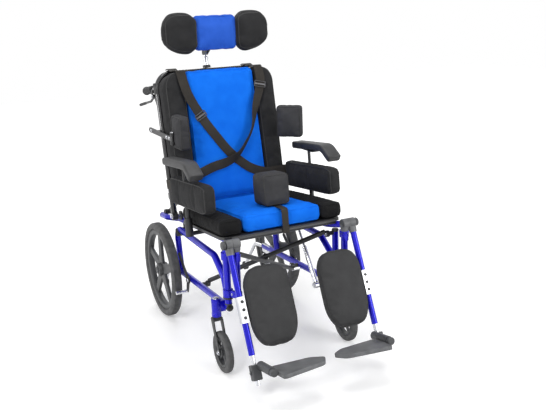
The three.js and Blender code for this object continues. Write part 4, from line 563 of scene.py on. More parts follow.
for label, side in SIDES:
    post = side * POST_X
    rail = [(225, 90), (225, 20), (195, -50), (195, -600), (POST_X, POST_Y)]
    piece(f"seat_tubes_{label}", candy_lacquer, "seat", [
        tube([at(side * x, y, seat_rail_z(y)) for x, y in rail], FRAME_TUBE, 45),
        tube([at(post, POST_Y, 270), at(post, POST_Y, 487)], FRAME_TUBE),
    ], f"seat_frame_{label}")
    socket_foot, socket_low, socket_head = (seat_point(side * SOCKET_X, SOCKET_FORWARD, up)
                                            for up in (-10, 60, 190))
    stop_ring = [(0, 12), (0, 17), (1, 18.4), (6, 18.4), (7, 17), (7, 12)]
    piece(f"seat_fittings_{label}", powder_coat, "seat", [
        ear(side * 199, side * 207, *BACK_HINGE, 18, seat_rail_z(BACK_HINGE[0]) - 4, 24),
        ear(side * 192.2, side * 199, *TILT_PIVOT, 17, seat_rail_z(TILT_PIVOT[0]) - 6, 30),
        across(side * 212.5, side * 225, *RECLINE_FOOT, 12),
        sleeve(socket_foot, socket_head, 8.8, 6.6),
        sleeve(socket_foot, socket_low, 14.8, 8.6),
        tube([seat_point(side * x, SOCKET_FORWARD, 0) for x in (195, 250)], 8),
        turned(at(post, POST_Y, 288.7), Z_WAY, stop_ring),
        turned(at(post, POST_Y, 270), -Z_WAY, END_CAP),
        turned(at(post, POST_Y, 487), Z_WAY, END_CAP),
        turned(at(side * 225, *SEAT_REAR), Vector((0, 1, -0.09)), END_CAP),
    ])
    piece(f"seat_bolts_{label}", plated_steel, "seat", [
        across(side * 199, side * 245.8, *BACK_HINGE, 7),
        bolt_head(at(side * 241.8, *BACK_HINGE), side * X_WAY, 8.5, 5),
        across(side * 185.2, side * 225, *RECLINE_FOOT, 5.5),
        bolt_head(at(side * 189.2, *RECLINE_FOOT), -side * X_WAY, 8, 4),
        [across(150.7, 195, *TILT_HEAD, 3.5), bolt_head(at(154.7, *TILT_HEAD), -X_WAY, 8, 4),
         across(175.5, 195, *TILT_HEAD, 12)] if side > 0 else [],
    ], edge=0.5)


# Seat pan. A black steel sheet is folded down along its front edge into a round nose and carries
# the cushions.
pan = [(-238, 316), (238, 316), (238, 698), (229.2, 719.2), (208, 728), (-208, 728), (-229.2, 719.2),
       (-238, 698)]
piece("seat_pan_sheet", powder_coat, "seat", [
    ([[seat_point(x, forward, up) for x, forward in pan] for up in (13.4, 24.6)], False),
    tube([seat_point(-206, 728, 14.8), seat_point(206, 728, 14.8)], 9.8),
], "seat_pan", edge=1.5)


# Seat cushion. Two foam bolsters in black stretch fabric flank a blue centre. The covers are
# sewn with piping along the edges of their tops and swell between the seams.
CUSHION_FLOOR = 25.1
CUSHION_FRONT = 733
START = 4
PIPING = 1.9


def swell(place, half):
    """How far a point lies inside a face: one at its middle and none at its edges."""
    return max(0, 1 - (place / half) ** 2)


def soft_stations(half, corner, cell):
    """Where a block's grid lines cross one of its axes, closer together in its round edges."""
    edge = half - corner
    count = max(2, round(2 * edge / cell))
    rounds = [edge + corner * math.tan(math.radians(11.25 * k)) for k in range(1, 5)]
    return [-r for r in reversed(rounds)] + [mix(-edge, edge, k / count) for k in range(count + 1)] + rounds


def soft_block(size, corner, form, cell, seam_axis):
    """The vertices (in mm), faces and two end seams of a closed block with round edges."""
    half = [length / 2 for length in size]
    stations = [soft_stations(h, corner, cell) for h in half]
    last = [len(s) - 1 for s in stations]
    found, vertices, faces, seams = {}, [], [], {}

    def vertex(axis, end, i, j):
        index = [0, 0, 0]
        index[axis], index[axis - 2], index[axis - 1] = end, i, j
        index = tuple(index)
        if index not in found:
            outer = Vector([stations[a][index[a]] for a in range(3)])
            inner = Vector([min(max(outer[a], corner - half[a]), half[a] - corner) for a in range(3)])
            vertices.append(form(inner + (outer - inner).normalized() * corner, half))
            found[index] = len(vertices) - 1
        return found[index]

    for axis in range(3):
        rows, columns = last[axis - 2], last[axis - 1]
        for end in (0, last[axis]):
            for i in range(rows):
                for j in range(columns):
                    corners = [vertex(axis, end, i + di, j + dj)
                               for di, dj in ((0, 0), (1, 0), (1, 1), (0, 1))]
                    faces.append(corners if end else corners[::-1])
            if axis == seam_axis:
                walk = [(i, 0) for i in range(rows)] + [(rows, j) for j in range(columns)]
                walk += ([(rows - i, columns) for i in range(rows)]
                         + [(0, columns - j) for j in range(columns)])
                seams[1 if end else -1] = [vertex(axis, end, i, j) for i, j in walk]
    return vertices, faces, seams


def filled_cover(vertices, faces, held, pressure, most):
    """Swells a sewn cover with its filling. Held vertices are its seams, which stay in place, and
    most is how far in mm a point may move along each axis."""
    mesh = bpy.data.meshes.new("cover")
    mesh.from_pydata([v / 1000 for v in vertices], [], faces)
    cover = bpy.data.objects.new("cover", mesh)
    bpy.context.scene.collection.objects.link(cover)
    cover.vertex_groups.new(name="seams").add(list(held), 1.0, "REPLACE")
    cloth = cover.modifiers.new("cloth", "CLOTH")
    fabric = {"quality": 6, "mass": 0.25, "tension_stiffness": 12, "compression_stiffness": 8,
              "bending_stiffness": 0.4, "use_pressure": True, "uniform_pressure_force": pressure,
              "shrink_min": -0.018, "vertex_group_mass": "seams", "pin_stiffness": 1}
    for name, value in fabric.items():
        setattr(cloth.settings, name, value)
    cloth.settings.effector_weights.gravity = 0
    cloth.point_cache.frame_start = 1
    cloth.point_cache.frame_end = 20
    scene = bpy.context.scene
    for frame_number in range(1, 21):
        scene.frame_set(frame_number)
    swollen = cover.evaluated_get(bpy.context.evaluated_depsgraph_get()).data
    places = []
    for before, after in zip(vertices, swollen.vertices):
        moved = after.co - before / 1000
        places.append(before / 1000 + Vector([max(-m, min(m, d * 1000)) / 1000 for d, m in zip(moved, most)]))
    scene.frame_set(1)
    bpy.data.objects.remove(cover)
    bpy.data.meshes.remove(mesh)
    return places


def filled_pad(size, corner, form, cell, seam_axis, pressure, most, stitched=None):
    """The places, faces and seams of a filled block, which may be stitched through as well."""
    vertices, faces, seams = soft_block(size, corner, form, cell, seam_axis)
    held = seams[1] + seams[-1] + [k for k, v in enumerate(vertices) if stitched and stitched(v)]
    return filled_cover(vertices, faces, held, pressure, most), faces, seams


def soft_piece(name, pad, placing, finish, body, replaced):
    """A filled piece from its swollen places, smoothed by one subdivision."""
    places, faces, seams = pad
    shape = bmesh.new()
    made = [shape.verts.new(placing @ place) for place in places]
    for corners in faces:
        shape.faces.new([made[k] for k in corners])
    cover = bare_piece(name, shape, finish)
    smoothing = cover.modifiers.new("smooth", "SUBSURF")
    smoothing.levels = smoothing.render_levels = 1
    fit(cover, body, replaced)


def loop_tube(points, radius, sides=8):
    """A cord that follows a closed loop of places."""
    rings = []
    for k, point in enumerate(points):
        ahead = (points[(k + 1) % len(points)] - points[k - 1]).normalized()
        side = side - ahead * side.dot(ahead) if rings else ahead.cross(Vector((0.31, 0.53, 0.79)))
        side.normalize()
        rings.append(ring_of(point, side, ahead.cross(side), radius, sides))
    return rings, True


def sewn(name, pad, placing, finish, body, radius=PIPING, ends=(1, -1)):
    """Piping or seam cord along the seams at a pad's ends."""
    places, faces, seams = pad
    cords = [loop_tube([placing @ places[k] for k in seams[end]], radius) for end in ends]
    fit(bare_piece(name, joined(cords), finish), body)


def maths(tree, operation, *values):
    return node(tree, "Math", dict(enumerate(values)), operation=operation).outputs["Value"]


def new_fabric(name, dark, light, pitch_mm, depth_mm, gloss=0.2, roughness=0.88):
    """Fabric with ribs one way, threads across them and a cloudy wear."""
    finish = new_finish(name, dark, roughness, tint=(45, 5, dark, light),
                        gloss=(45, 5, roughness - 0.1, roughness + 0.08), Specular_IOR_Level=gloss)
    tree = finish.node_tree
    place = tree.nodes["Mapping"].outputs["Vector"]
    ribs, threads = (
        node(tree, "TexWave", {"Vector": place, "Scale": 0.314 / wave_mm, "Distortion": 0.6, "Detail": 1.0},
             bands_direction=way).outputs["Fac"]
        for wave_mm, way in ((pitch_mm, "DIAGONAL"), (pitch_mm * 0.8, "X")))
    weave = maths(tree, "ADD", ribs, threads)
    add_bump(tree, maths(tree, "MULTIPLY_ADD", grain(tree, place, 14, 4), 1.6, weave), depth_mm)
    return finish


# Black stretch cover: charcoal two-way stretch fabric with a fine rib and a slight sheen
black_stretch = new_fabric("black_stretch_cover", "#212122", "#2b2b2c", 1.3, 0.18)

# Seat cover: the same stretch fabric unworn, a deeper black
seat_stretch = new_fabric("deep_black_stretch_cover", "#0b0b0c", "#141415", 1.3, 0.18)

# Blue knit: the breathable centre panels, saturated and matt with a fine cross rib
blue_knit = new_fabric("blue_knit_cover", "#1068de", "#1771e6", 1.5, 0.2, 0.05)

# Piping: black leathercloth cord, glossier than the fabric that it edges
piping_cord = new_finish("black_leathercloth_piping", "#151516", 0.6, relief=(1.0, 3, 0.08))


def seat_form(vertex, half):
    top = max(0, vertex.z / half[2])
    end = (abs(vertex.y) / half[1]) ** 4
    crown = 3.5 * top * swell(vertex.x, half[0]) * swell(vertex.y, half[1])
    sag = 5 * math.copysign(swell(vertex.z, half[2]) * end, -vertex.y)
    return vertex + Vector((0, sag, crown))


def seat_pad(x_from, x_to, rear, height, cell, pressure, most):
    """A filled seat cushion between two side lines, and its placing."""
    size = (x_to - x_from - START, CUSHION_FRONT - rear - START, height - START)
    middle = mm((x_from + x_to) / 2, -(rear + CUSHION_FRONT) / 2, CUSHION_FLOOR + height / 2)
    pad = filled_pad(size, 21, seat_form, cell, 2, pressure, most)
    return pad, seat_frame @ Matrix.Translation(middle)


bolster, right_placing = seat_pad(155, 245, 316, 60, 8, 3.5, (2.5, 4, 7))
for label, side in SIDES:
    placing = mirrored(right_placing, side)
    soft_piece(f"seat_bolster_{label}", bolster, placing, seat_stretch, "seat", "seat_cushion")
    sewn(f"seat_bolster_piping_{label}", bolster, placing, seat_stretch, "seat")

centre, placing = seat_pad(-154.7, 154.7, 330.3, 64, 10, 3, (1.5, 4, 7))
soft_piece("seat_centre_cushion", centre, placing, blue_knit, "seat", "seat_centre")
sewn("seat_centre_seam", centre, placing, blue_knit, "seat", 1.4)


# Pommel. A firm foam block in a charcoal cover sits on the front of the seat, held by a webbing
# strap that runs forward under it and down to the pan.
# Charcoal stretch: the supports' cover, a lighter weave of the same fabric
charcoal_stretch = new_fabric("charcoal_stretch_cover", "#333335", "#3f3f41", 1.3, 0.18)

# Webbing: woven polyester tape with cross ribs, brown-black
webbing_tape = new_fabric("woven_webbing", "#2b2825", "#36332f", 2.2, 0.3, 0.2, 0.75)


def pommel_form(vertex, half):
    waist = 1 + 0.04 * swell(vertex.z, half[2])
    return Vector((vertex.x * waist, vertex.y, vertex.z))


pommel = filled_pad((102, 98, 114), 16, pommel_form, 7, 1, 3.5, (5, 4, 3))
placing = seat_frame @ Matrix.Translation(mm(0, -641, 156.2))
soft_piece("pommel_block", pommel, placing, charcoal_stretch, "seat", "pommel_pad")
sewn("pommel_piping", pommel, placing, piping_cord, "seat")


def smooth_stops(stops, steps=6):
    """Stops on a smooth curve through the given ones."""
    made = []
    ends = [stops[0]] + list(stops) + [stops[-1]]
    for k in range(1, len(ends) - 2):
        for step in range(steps):
            t = step / steps
            row = []
            for part in (0, 1):
                a, b, c, d = (ends[k + i][part] for i in (-1, 0, 1, 2))
                row.append(((b * 2) + (c - a) * t + (a * 2 - b * 5 + c * 4 - d) * t * t
                            + (b * 3 - a - c * 3 + d) * t ** 3) / 2)
            made.append((row[0], row[1].normalized()))
    return made + [stops[-1]]


def strap(name, stops, width, thickness, body, replaced):
    """Flat webbing on a smooth curve through (place, facing) stops, with softly rounded edges."""
    stops = smooth_stops(stops)
    places = [place for place, facing in stops]
    rings = []
    for k, (place, facing) in enumerate(stops):
        ahead = heading(places, k)
        out = (facing - ahead * facing.dot(ahead)).normalized()
        rings.append(section(place, ahead.cross(out), out, width / 2, thickness / 2, thickness * 0.45, 2))
    fit(bare_piece(name, joined([(rings, False)]), webbing_tape), body, replaced)


seat_turn = seat_frame.to_3x3()
up_way, front_way = seat_turn @ Z_WAY, seat_turn @ -Y_WAY
stops = [(seat_point(0, forward, 95.9), up_way) for forward in (640, 680, 715)]
stops += [(seat_point(0, 735.5, 92), (up_way + front_way).normalized())]
stops += [(seat_point(0, 739.65, up), front_way) for up in (78, 45, 6)]
strap("pommel_webbing", stops, 26, 3, "seat", "pommel_strap")


# Side pads. Each is a firm pad in the black cover under the armrest, sewn through along two
# upright seams, with a pocket for the armrest's post.
def side_pad_form(vertex, half):
    outward = max(0, vertex.x / half[0])
    moved = Vector(vertex)
    for share in (-0.46, 0.46):
        moved.x -= 3 * outward * math.exp(-((vertex.y - share * half[1]) / 7) ** 2)
    into = max(0, -vertex.y - (half[1] - 55)) / 55
    moved.z *= 1 - 0.34 * (1 - math.sqrt(max(0, 1 - into ** 2)))
    return moved


side_pad = filled_pad((47, 371, 105), 16, side_pad_form, 7, 0, 3.5, (5, 3, 3),
                      lambda v: v.x > 0 and min(abs(v.y - 85), abs(v.y + 85)) < 4)
for label, side in SIDES:
    placing = mirrored(seat_frame @ Matrix.Translation(mm(251, -489, 150)), side)
    soft_piece(f"side_pad_cover_{label}", side_pad, placing, black_stretch, "seat",
               f"side_pad_{label}")
    sewn(f"side_pad_piping_{label}", side_pad, placing, piping_cord, "seat")


# Armrests. The pad is moulded polyurethane foam with a tough grey skin, flat on top with a
# dropped front; its black post slides in a socket on the seat rail.
# Integral skin foam: warm grey, leather-grained, lighter along the top where arms rub it
skin_foam = new_finish("integral_skin_foam", "#474749", 0.55, tint=(30, 4, "#202021", "#2f2f31"))
tree = skin_foam.node_tree
leather = node(tree, "TexVoronoi", {"Vector": tree.nodes["Mapping"].outputs["Vector"], "Scale": 0.55},
               feature="DISTANCE_TO_EDGE")
add_bump(tree, leather.outputs["Distance"], 0.15)

ARM_X = 278
arm_line = bent([seat_point(0, forward, up) for forward, up in ((342, 269), (575, 269), (628, 231))], 60)

for label, side in SIDES:
    line = [Vector((side * ARM_X / 1000, p.y, p.z)) for p in arm_line]
    rings = [section(point, X_WAY, heading(line, k).cross(X_WAY), 28, 14, 8, 5)
             for k, point in enumerate(line)]
    rear, front = ([line[end] + (line[end] - line[inner]).normalized() * 0.004 + (p - line[end]) * 0.86
                    for p in rings[end]] for end, inner in ((0, 1), (-1, -2)))
    piece(f"armrest_pad_skin_{label}", skin_foam, f"armrest_{label}", [
        ([rear] + rings + [front], False),
    ], f"armrest_pad_{label}", edge=1.5)
    piece(f"armrest_slide_{label}", powder_coat, f"armrest_{label}", [
        tube([seat_point(side * SOCKET_X, SOCKET_FORWARD, up) for up in (2, 255.5)], 6),
        bar([seat_point(side * 270, SOCKET_FORWARD, up) for up in (252, 256)], X_WAY, Y_WAY, 17, 45, 3),
    ], f"armrest_post_{label}")


# Back hoop. One tube is bent over the top of the back. Its canes hinge on the seat rails and
# carry the push handles, the ears of the release levers and the heads of the recline springs.
# Cane lacquer: the same blue so deep that it reads black, with a hard white highlight
cane_lacquer = new_finish("dark_lacquer", "#0e0e12", 0.22, gloss=(30, 3, 0.18, 0.32),
                          Metallic=0.3, Coat_Weight=1.0, Coat_Roughness=0.05)

LEVER_PIN = (72, 922)
HANDLE_X, GRIP_X = 224, 215
HANDLE_TOP, GRIP_END = (80, 950), (212, 932)
CLAMP = [(0, 12), (0, 15.5), (2, 17), (42, 17), (44, 15.5), (44, 12)]

piece("back_hoop_tube", cane_lacquer, "back", [
    tube([back_point(x, 0, up) for x, up in ((-CANE_X, 14), (-CANE_X, 575), (CANE_X, 575), (CANE_X, 14))],
         FRAME_TUBE, 62),
    [tube([back_point(side * CANE_X, 0, 518), at(side * HANDLE_X, *HANDLE_TOP), at(side * GRIP_X, *GRIP_END)],
          9, 30) for label, side in SIDES],
], "back_hoop")

piece("back_hoop_fittings", powder_coat, "back", [
    [[sleeve(at(side * 218.5, *BACK_HINGE), at(side * 241.5, *BACK_HINGE), 17, 7.3),
      turned(back_point(side * CANE_X, 0, 496), top_of_back, CLAMP),
      turned(back_point(side * CANE_X, -20.5, RECLINE_UP), top_of_back, [(0, 9), (25.7, 9)]),
      tube([back_point(side * CANE_X, forward, 82) for forward in (0, -14)], 6),
      bar([at(side * x, 72, 931.5) for x in (232.3, 236.5)], Y_WAY, Z_WAY, 9, 18, 3),
      bar([at(side * x, 72, 945) for x in (222, 236)], Y_WAY, Z_WAY, 9, 4, 1)] for label, side in SIDES],
    sleeve(back_point(0, -24, 548), back_point(0, -24, 600), 16, 9.4),
    bar([back_point(x, -11, 575) for x in (-14, 14)], top_of_back, Y_WAY, 16, 7, 2),
])

piece("back_hoop_bolts", plated_steel, "back", [
    [[tube([back_point(side * x, 0, RECLINE_UP) for x in (190, CANE_X)], 3.5),
      bolt_head(back_point(side * 191, 0, RECLINE_UP), -side * X_WAY, 7, 3),
      across(side * 221.7, side * 236.5, *LEVER_PIN, 4),
      bolt_head(at(side * 236.5, *LEVER_PIN), side * X_WAY, 6, 3)] for label, side in SIDES],
    turned(back_point(0, -40, 560), -front_of_back, [(0, 4), (4, 4), (5, 11), (14, 12), (16, 8)]),
], edge=0.4)


# Push handles. Ribbed rubber grips are pushed over the ends of the handle tubes; a curved black
# lever under each pulls the release cable of its recline spring.
grip = [(-118, 9.3), (-118, 14), (-116, 16)]
for k in range(14):
    grip += [(-112 + k * 7.6 + step, radius)
             for step, radius in ((0, 16), (1.2, 14.6), (2.6, 14.6), (3.8, 16))]
grip += [(0, 16), (1, 18), (5, 18), (7, 14), (7, 0.4), (0.4, 0.4), (0.4, 9.3)]

for label, side in SIDES:
    lever, end = f"release_lever_{label}", at(side * GRIP_X, *GRIP_END)
    piece(f"push_grip_rubber_{label}", black_rubber, "back", [
        turned(end, end - at(side * HANDLE_X, *HANDLE_TOP), grip, 40, True),
    ], f"push_grip_{label}", edge=0)
    arm = [at(side * 227, *point) for point in (LEVER_PIN, (120, 897), (285, 866))]
    piece(f"release_lever_arm_{label}", powder_coat, lever, [
        tube(arm, 5, 30),
        sleeve(at(side * 222, *LEVER_PIN), at(side * 232, *LEVER_PIN), 9, 4.3),
    ], lever)
    tip_way = (arm[2] - arm[1]).normalized()
    piece(f"release_lever_sleeve_{label}", black_rubber, lever, [
        tube([arm[2] - tip_way * 0.09, arm[2] + tip_way * 0.001], 6.2),
    ])
    cable = [at(side * 234.3, y, 922) for y in (62.7, 40.7)]
    cable += [back_point(side * CANE_X, -20.5, up) for up in (425, 96)]
    piece(f"release_cable_sheath_{label}", black_rubber, "back", [
        tube(cable, 2.5, 22, 12),
    ], f"release_cable_{label}", edge=0)


# Back cushion. Black bolsters follow the hoop up both sides, tied over a stiff backing, and a
# blue centre cushion lies between them; all are piped and swell between their seams.
BACK_LOW, BACK_HIGH = 50, 570
BACK_ROUND = 66


def back_inner(up):
    return mix(154, 147, (up - BACK_LOW) / (BACK_HIGH - BACK_LOW))


def back_outer(up):
    into = max(0, up - (BACK_HIGH - BACK_ROUND))
    return 236.5 - BACK_ROUND + math.sqrt(max(0, BACK_ROUND ** 2 - into ** 2))


def back_pad(inner, outer, near, far, cell, pressure, most):
    """A filled back cushion between two side lines."""
    middle_up = (BACK_LOW + BACK_HIGH) / 2

    def form(vertex, half):
        up = vertex.z + middle_up
        share = vertex.x / half[0]
        front = max(0, -vertex.y / half[1])
        crown = 4 * front * swell(share, 1) * swell(vertex.z, half[2])
        return Vector((mix(inner(up), outer(up), (share + 1) / 2), vertex.y - crown - (near + far) / 2, up))

    size = (outer(BACK_LOW) - inner(BACK_LOW), far - near - START, BACK_HIGH - BACK_LOW - START)
    return filled_pad(size, 24, form, cell, 1, pressure, most)


bolster = back_pad(lambda up: back_inner(up) + 1.5, back_outer, 15, 119, 9, 3.5, (3, 7, 4))
for label, side in SIDES:
    placing = mirrored(back_frame, side)
    soft_piece(f"back_bolster_{label}", bolster, placing, black_stretch, "back",
               "back_cushion")
    sewn(f"back_bolster_piping_{label}", bolster, placing, piping_cord, "back")

centre = back_pad(lambda up: 1.5 - back_inner(up), lambda up: back_inner(up) - 1.5, 32, 121, 11, 3,
                  (1.5, 3, 4))
soft_piece("back_centre_cushion", centre, back_frame, blue_knit, "back", "back_centre")
sewn("back_centre_seam", centre, back_frame, blue_knit, "back", 1.4)

# Flap of the centre's cover, which closes the gap behind the seat cushion
flap = bar([back_point(0, *place) for place in ((104, 72), (104, 58), (103, 44), (101, 30), (98, 18))],
           X_WAY, -front_of_back, 148, 1.6, 1.4, 2)
fit(bare_piece("back_centre_flap", joined([flap]), blue_knit), "back")

piece("back_board", moulded_nylon, "back", [
    bar([back_point(0, forward, 310) for forward in (13, 29)], X_WAY, top_of_back, 172, 247, 20),
], edge=2)


# Lateral supports. A flat black bar is clamped to each cane; at its front end a curved foam pad
# swings on an upright pin. The right pad is turned out.
HINGE_X, HINGE_Y = 250.3, -200
PLATE = [(-200, 778), (-200, 792), (-190, 795), (85, 795), (95, 787), (95, 783), (85, 775), (-190, 775)]

for label, side in SIDES:
    piece(f"lateral_bar_{label}", powder_coat, "back", [
        plate_across(side * 246.3, side * 254.3, PLATE),
        pipe(back_point(side * CANE_X, 0, 328), top_of_back, 0, 26, 16.8, 12.8),
        bar([back_point(side * x, 0, 341) for x in (244, 248)], Y_WAY, top_of_back, 12, 12, 2),
        tube([at(side * HINGE_X, HINGE_Y, z) for z in (760, 810)], 5),
    ], f"lateral_arm_{label}")
    piece(f"lateral_bolts_{label}", plated_steel, "back", [
        [bolt_head(at(side * 254.3, y, 785), side * X_WAY, 5, 3) for y in (-170, -140, 60)],
        bolt_head(at(side * HINGE_X, HINGE_Y, 810), Z_WAY, 7, 3),
    ], edge=0.4)


def lateral_form(vertex, half):
    inward = max(0, -vertex.x / half[0])
    bow = 3 * inward * swell(vertex.y, half[1]) * swell(vertex.z, half[2])
    return vertex - Vector((bow, 0, 0))


lateral = filled_pad((40, 105, 128), 14, lateral_form, 6, 0, 3.5, (5, 3, 3))
for label, side, flare in (("right", 1, 45), ("left", -1, 0)):
    body, tab = f"lateral_pad_{label}", [(-15, -9), (-6, -9), (-6, 9), (-15, 9)]
    hinge = Matrix.Translation(at(HINGE_X, HINGE_Y, 785)) @ Matrix.Rotation(math.radians(flare), 4, "Z")
    placing = mirrored(hinge @ Matrix.Translation(mm(-30, -15, 25)), side)
    hinge = mirrored(hinge, side)
    soft_piece(f"lateral_pad_cover_{label}", lateral, placing, charcoal_stretch, body,
               body)
    sewn(f"lateral_pad_piping_{label}", lateral, placing, piping_cord, body)
    piece(f"lateral_hinge_{label}", powder_coat, body, [
        [[sleeve(hinge @ mm(0, 0, low), hinge @ mm(0, 0, low + 11), 9.3, 5.4),
          ([[hinge @ mm(x, y, z) for x, y in tab] for z in (low, low + 11)], False)]
         for low in (-21.3, 10.3)],
    ])


# Harness. Two webbing straps cross over the back cushion from the top of the hoop to the canes;
# each has a blackened slider that sets its length.
HARNESS_LIFT = 126.8
SHOULDER_X = 166
HIP_UP = 132
LEFT_LEVEL, RIGHT_LEVEL = 1.5, 5.4
left_route = [(-162, 520), (-145, 461), (-99, 370), (-64, 315), (-13, 241), (34, 192), (82, 156), (140, 134)]
right_route = [(166, 520), (158, 480), (124, 400), (98, 318), (62, 262), (20, 216), (-30, 194), (-88, 181),
               (-146, 160)]

# The right strap twists on its way down, in degrees at each place of its route
TWIST = (0, 0, 30, 60, 62, 58, 42, 15, 0)

for label, side, route, level in (("left", -1, left_route, LEFT_LEVEL),
                                  ("right", 1, right_route, RIGHT_LEVEL)):
    over_hoop = ((-12, 590.8), (12, 590.8), (40, 579), (90, 574))
    stops = [(back_point(side * SHOULDER_X, *place), top_of_back) for place in over_hoop]
    stops += [(back_point(side * SHOULDER_X, 117, 566), (top_of_back + front_of_back).normalized())]
    for k, (x, up) in enumerate(route):
        twist = math.radians(TWIST[k]) if side > 0 else 0
        facing = front_of_back * math.cos(twist) + X_WAY * math.sin(twist)
        stops.append((back_point(x, HARNESS_LIFT + level + 17 * abs(math.sin(twist)), up), facing))
    hip_way = -side * X_WAY
    stops += [(back_point(-side * 196, HARNESS_LIFT - 3, HIP_UP), front_of_back),
              (back_point(-side * 241, 118, HIP_UP), (hip_way + front_of_back).normalized()),
              (back_point(-side * 244.3, 59, HIP_UP), hip_way),
              (back_point(-side * 244.3, 0, HIP_UP), hip_way)]
    strap(f"harness_webbing_{label}", stops, 38, 2.4, "back", "harness")

# Blackened steel wire, worn bright along its edges
dark_steel = new_finish("blackened_steel_wire", "#4a4a4c", 0.35, gloss=(6, 3, 0.25, 0.5), Metallic=0.9)

for label, x, up, turn, level in (("left", -109, 388, 0.5, LEFT_LEVEL),
                                  ("right", 160, 492, -0.2, RIGHT_LEVEL)):
    across_way = back_turn @ Vector((math.cos(turn), 0, math.sin(turn)))
    along_way = back_turn @ Vector((-math.sin(turn), 0, math.cos(turn)))
    centre = back_point(x, HARNESS_LIFT + level + 3, up)
    corners = [centre + (across_way * a + along_way * b) / 1000
               for a, b in ((-23, -11), (23, -11), (23, 11), (-23, 11))]
    piece(f"harness_slider_{label}", dark_steel, "back", [
        [tube([start, end], 1.9, 0, 12) for start, end in zip(corners, corners[1:] + corners[:1])],
        bar([centre + across_way * (way * 0.022) for way in (-1, 1)], along_way, front_of_back, 4, 1.3, 1, 2),
    ], edge=0.3)


# Headrest. A polished post slides in the hoop's socket and ends in a tilting head with two cheek
# plates; on them sit a moulded shell, two swept wings and a blue centre pad with black piping.
TILT_PIN = (55.3, 1088.9)
CHEEK = [(66, 1096), (66, 1080), (62, 1077), (46, 1077), (-24, 1120), (-24, 1178)]

piece("headrest_post_rod", plated_steel, "headrest_post", [
    tube([back_point(0, -24, 470), back_point(0, -24, 632)], 9),
], "headrest_post")
piece("headrest_tilt_head", plated_steel, "headrest_post", [
    turned(back_point(0, -24, 624), top_of_back, [(0, 9.2), (0, 11), (10, 11), (12, 8)]),
    tube([back_point(0, -24, 630), at(0, *TILT_PIN)], 5),
    across(-5, 5, *TILT_PIN, 11),
    across(-9.3, 9.3, *TILT_PIN, 4),
])
piece("headrest_shell", moulded_nylon, "headrest", [
    [plate_across(way * 5.3, way * 9.3, CHEEK) for way in (-1, 1)],
    bar([at(0, y, 1169) for y in (-37, -29)], X_WAY, Z_WAY, 110, 46, 16),
    bar([at(0, y, 1160) for y in (-30, -22)], X_WAY, Z_WAY, 40, 26, 8),
], edge=1.5)
piece("headrest_bolts", plated_steel, "headrest", [
    [bolt_head(at(x, -22, z), Y_WAY, 5, 3) for x in (-28, 28) for z in (1148, 1174)],
], edge=0.4)

# Headrest knit: a softer blue than the cushions
head_knit = new_fabric("headrest_blue_knit", "#2654b8", "#2f5fc6", 1.5, 0.2, 0.1)


def wing_form(vertex, half):
    along = (vertex.x / half[0] + 1) / 2
    front = max(0, -vertex.y / half[1])
    start, reach = (0.6, 0.44) if vertex.z > 0 else (0.15, 0.9)
    rounding = math.sqrt(max(0.1, 1 - (max(0, along - start) / reach) ** 2))
    inner = max(0, 1 - along / 0.3) ** 2
    return Vector((vertex.x - 22 * front * inner, vertex.y * (1 - 0.3 * along ** 2) - 12 * along ** 2,
                   vertex.z * rounding * (1 - 0.16 * inner)))


wing = filled_pad((133.7, 83, 157), 34, wing_form, 8, 1, 3.5, (3, 6, 5))
for label, side in SIDES:
    placing = mirrored(Matrix.Translation(at(156.65, -69, 1170)), side)
    soft_piece(f"headrest_wing_{label}", wing, placing, black_stretch, "headrest",
               "headrest_wings")
    sewn(f"headrest_wing_piping_{label}", wing, placing, piping_cord, "headrest")


def head_form(vertex, half):
    front = max(0, -vertex.y / half[1])
    return vertex - Vector((0, 3 * front * swell(vertex.z, half[2]), 0))


centre = filled_pad((173.5, 49, 134), 18, head_form, 8, 1, 3.5, (1.5, 6, 4))
placing = Matrix.Translation(at(0, -64, 1169.5))
soft_piece("headrest_centre_pad", centre, placing, head_knit, "headrest",
           "headrest_centre")
sewn("headrest_centre_seam", centre, placing, head_knit, "headrest", 1.5, (-1,))
sewn("headrest_centre_piping", centre, placing, piping_cord, "headrest", ends=(1,))


# Swing-away hangers. A blue tube hangs on two collars beside the front post; a grey moulded knee
# at its top holds the pivot and the locking knob of the leg.
HANGER_X, HANGER_Y = 214, -690
KNEE = (HANGER_Y, 495)
# Grey moulding of the knee covers
grey_moulding = new_finish("grey_moulding", "#58595b", 0.45, tint=(30, 3, "#4c4d4f", "#666769"),
                           relief=(0.9, 3, 0.05))

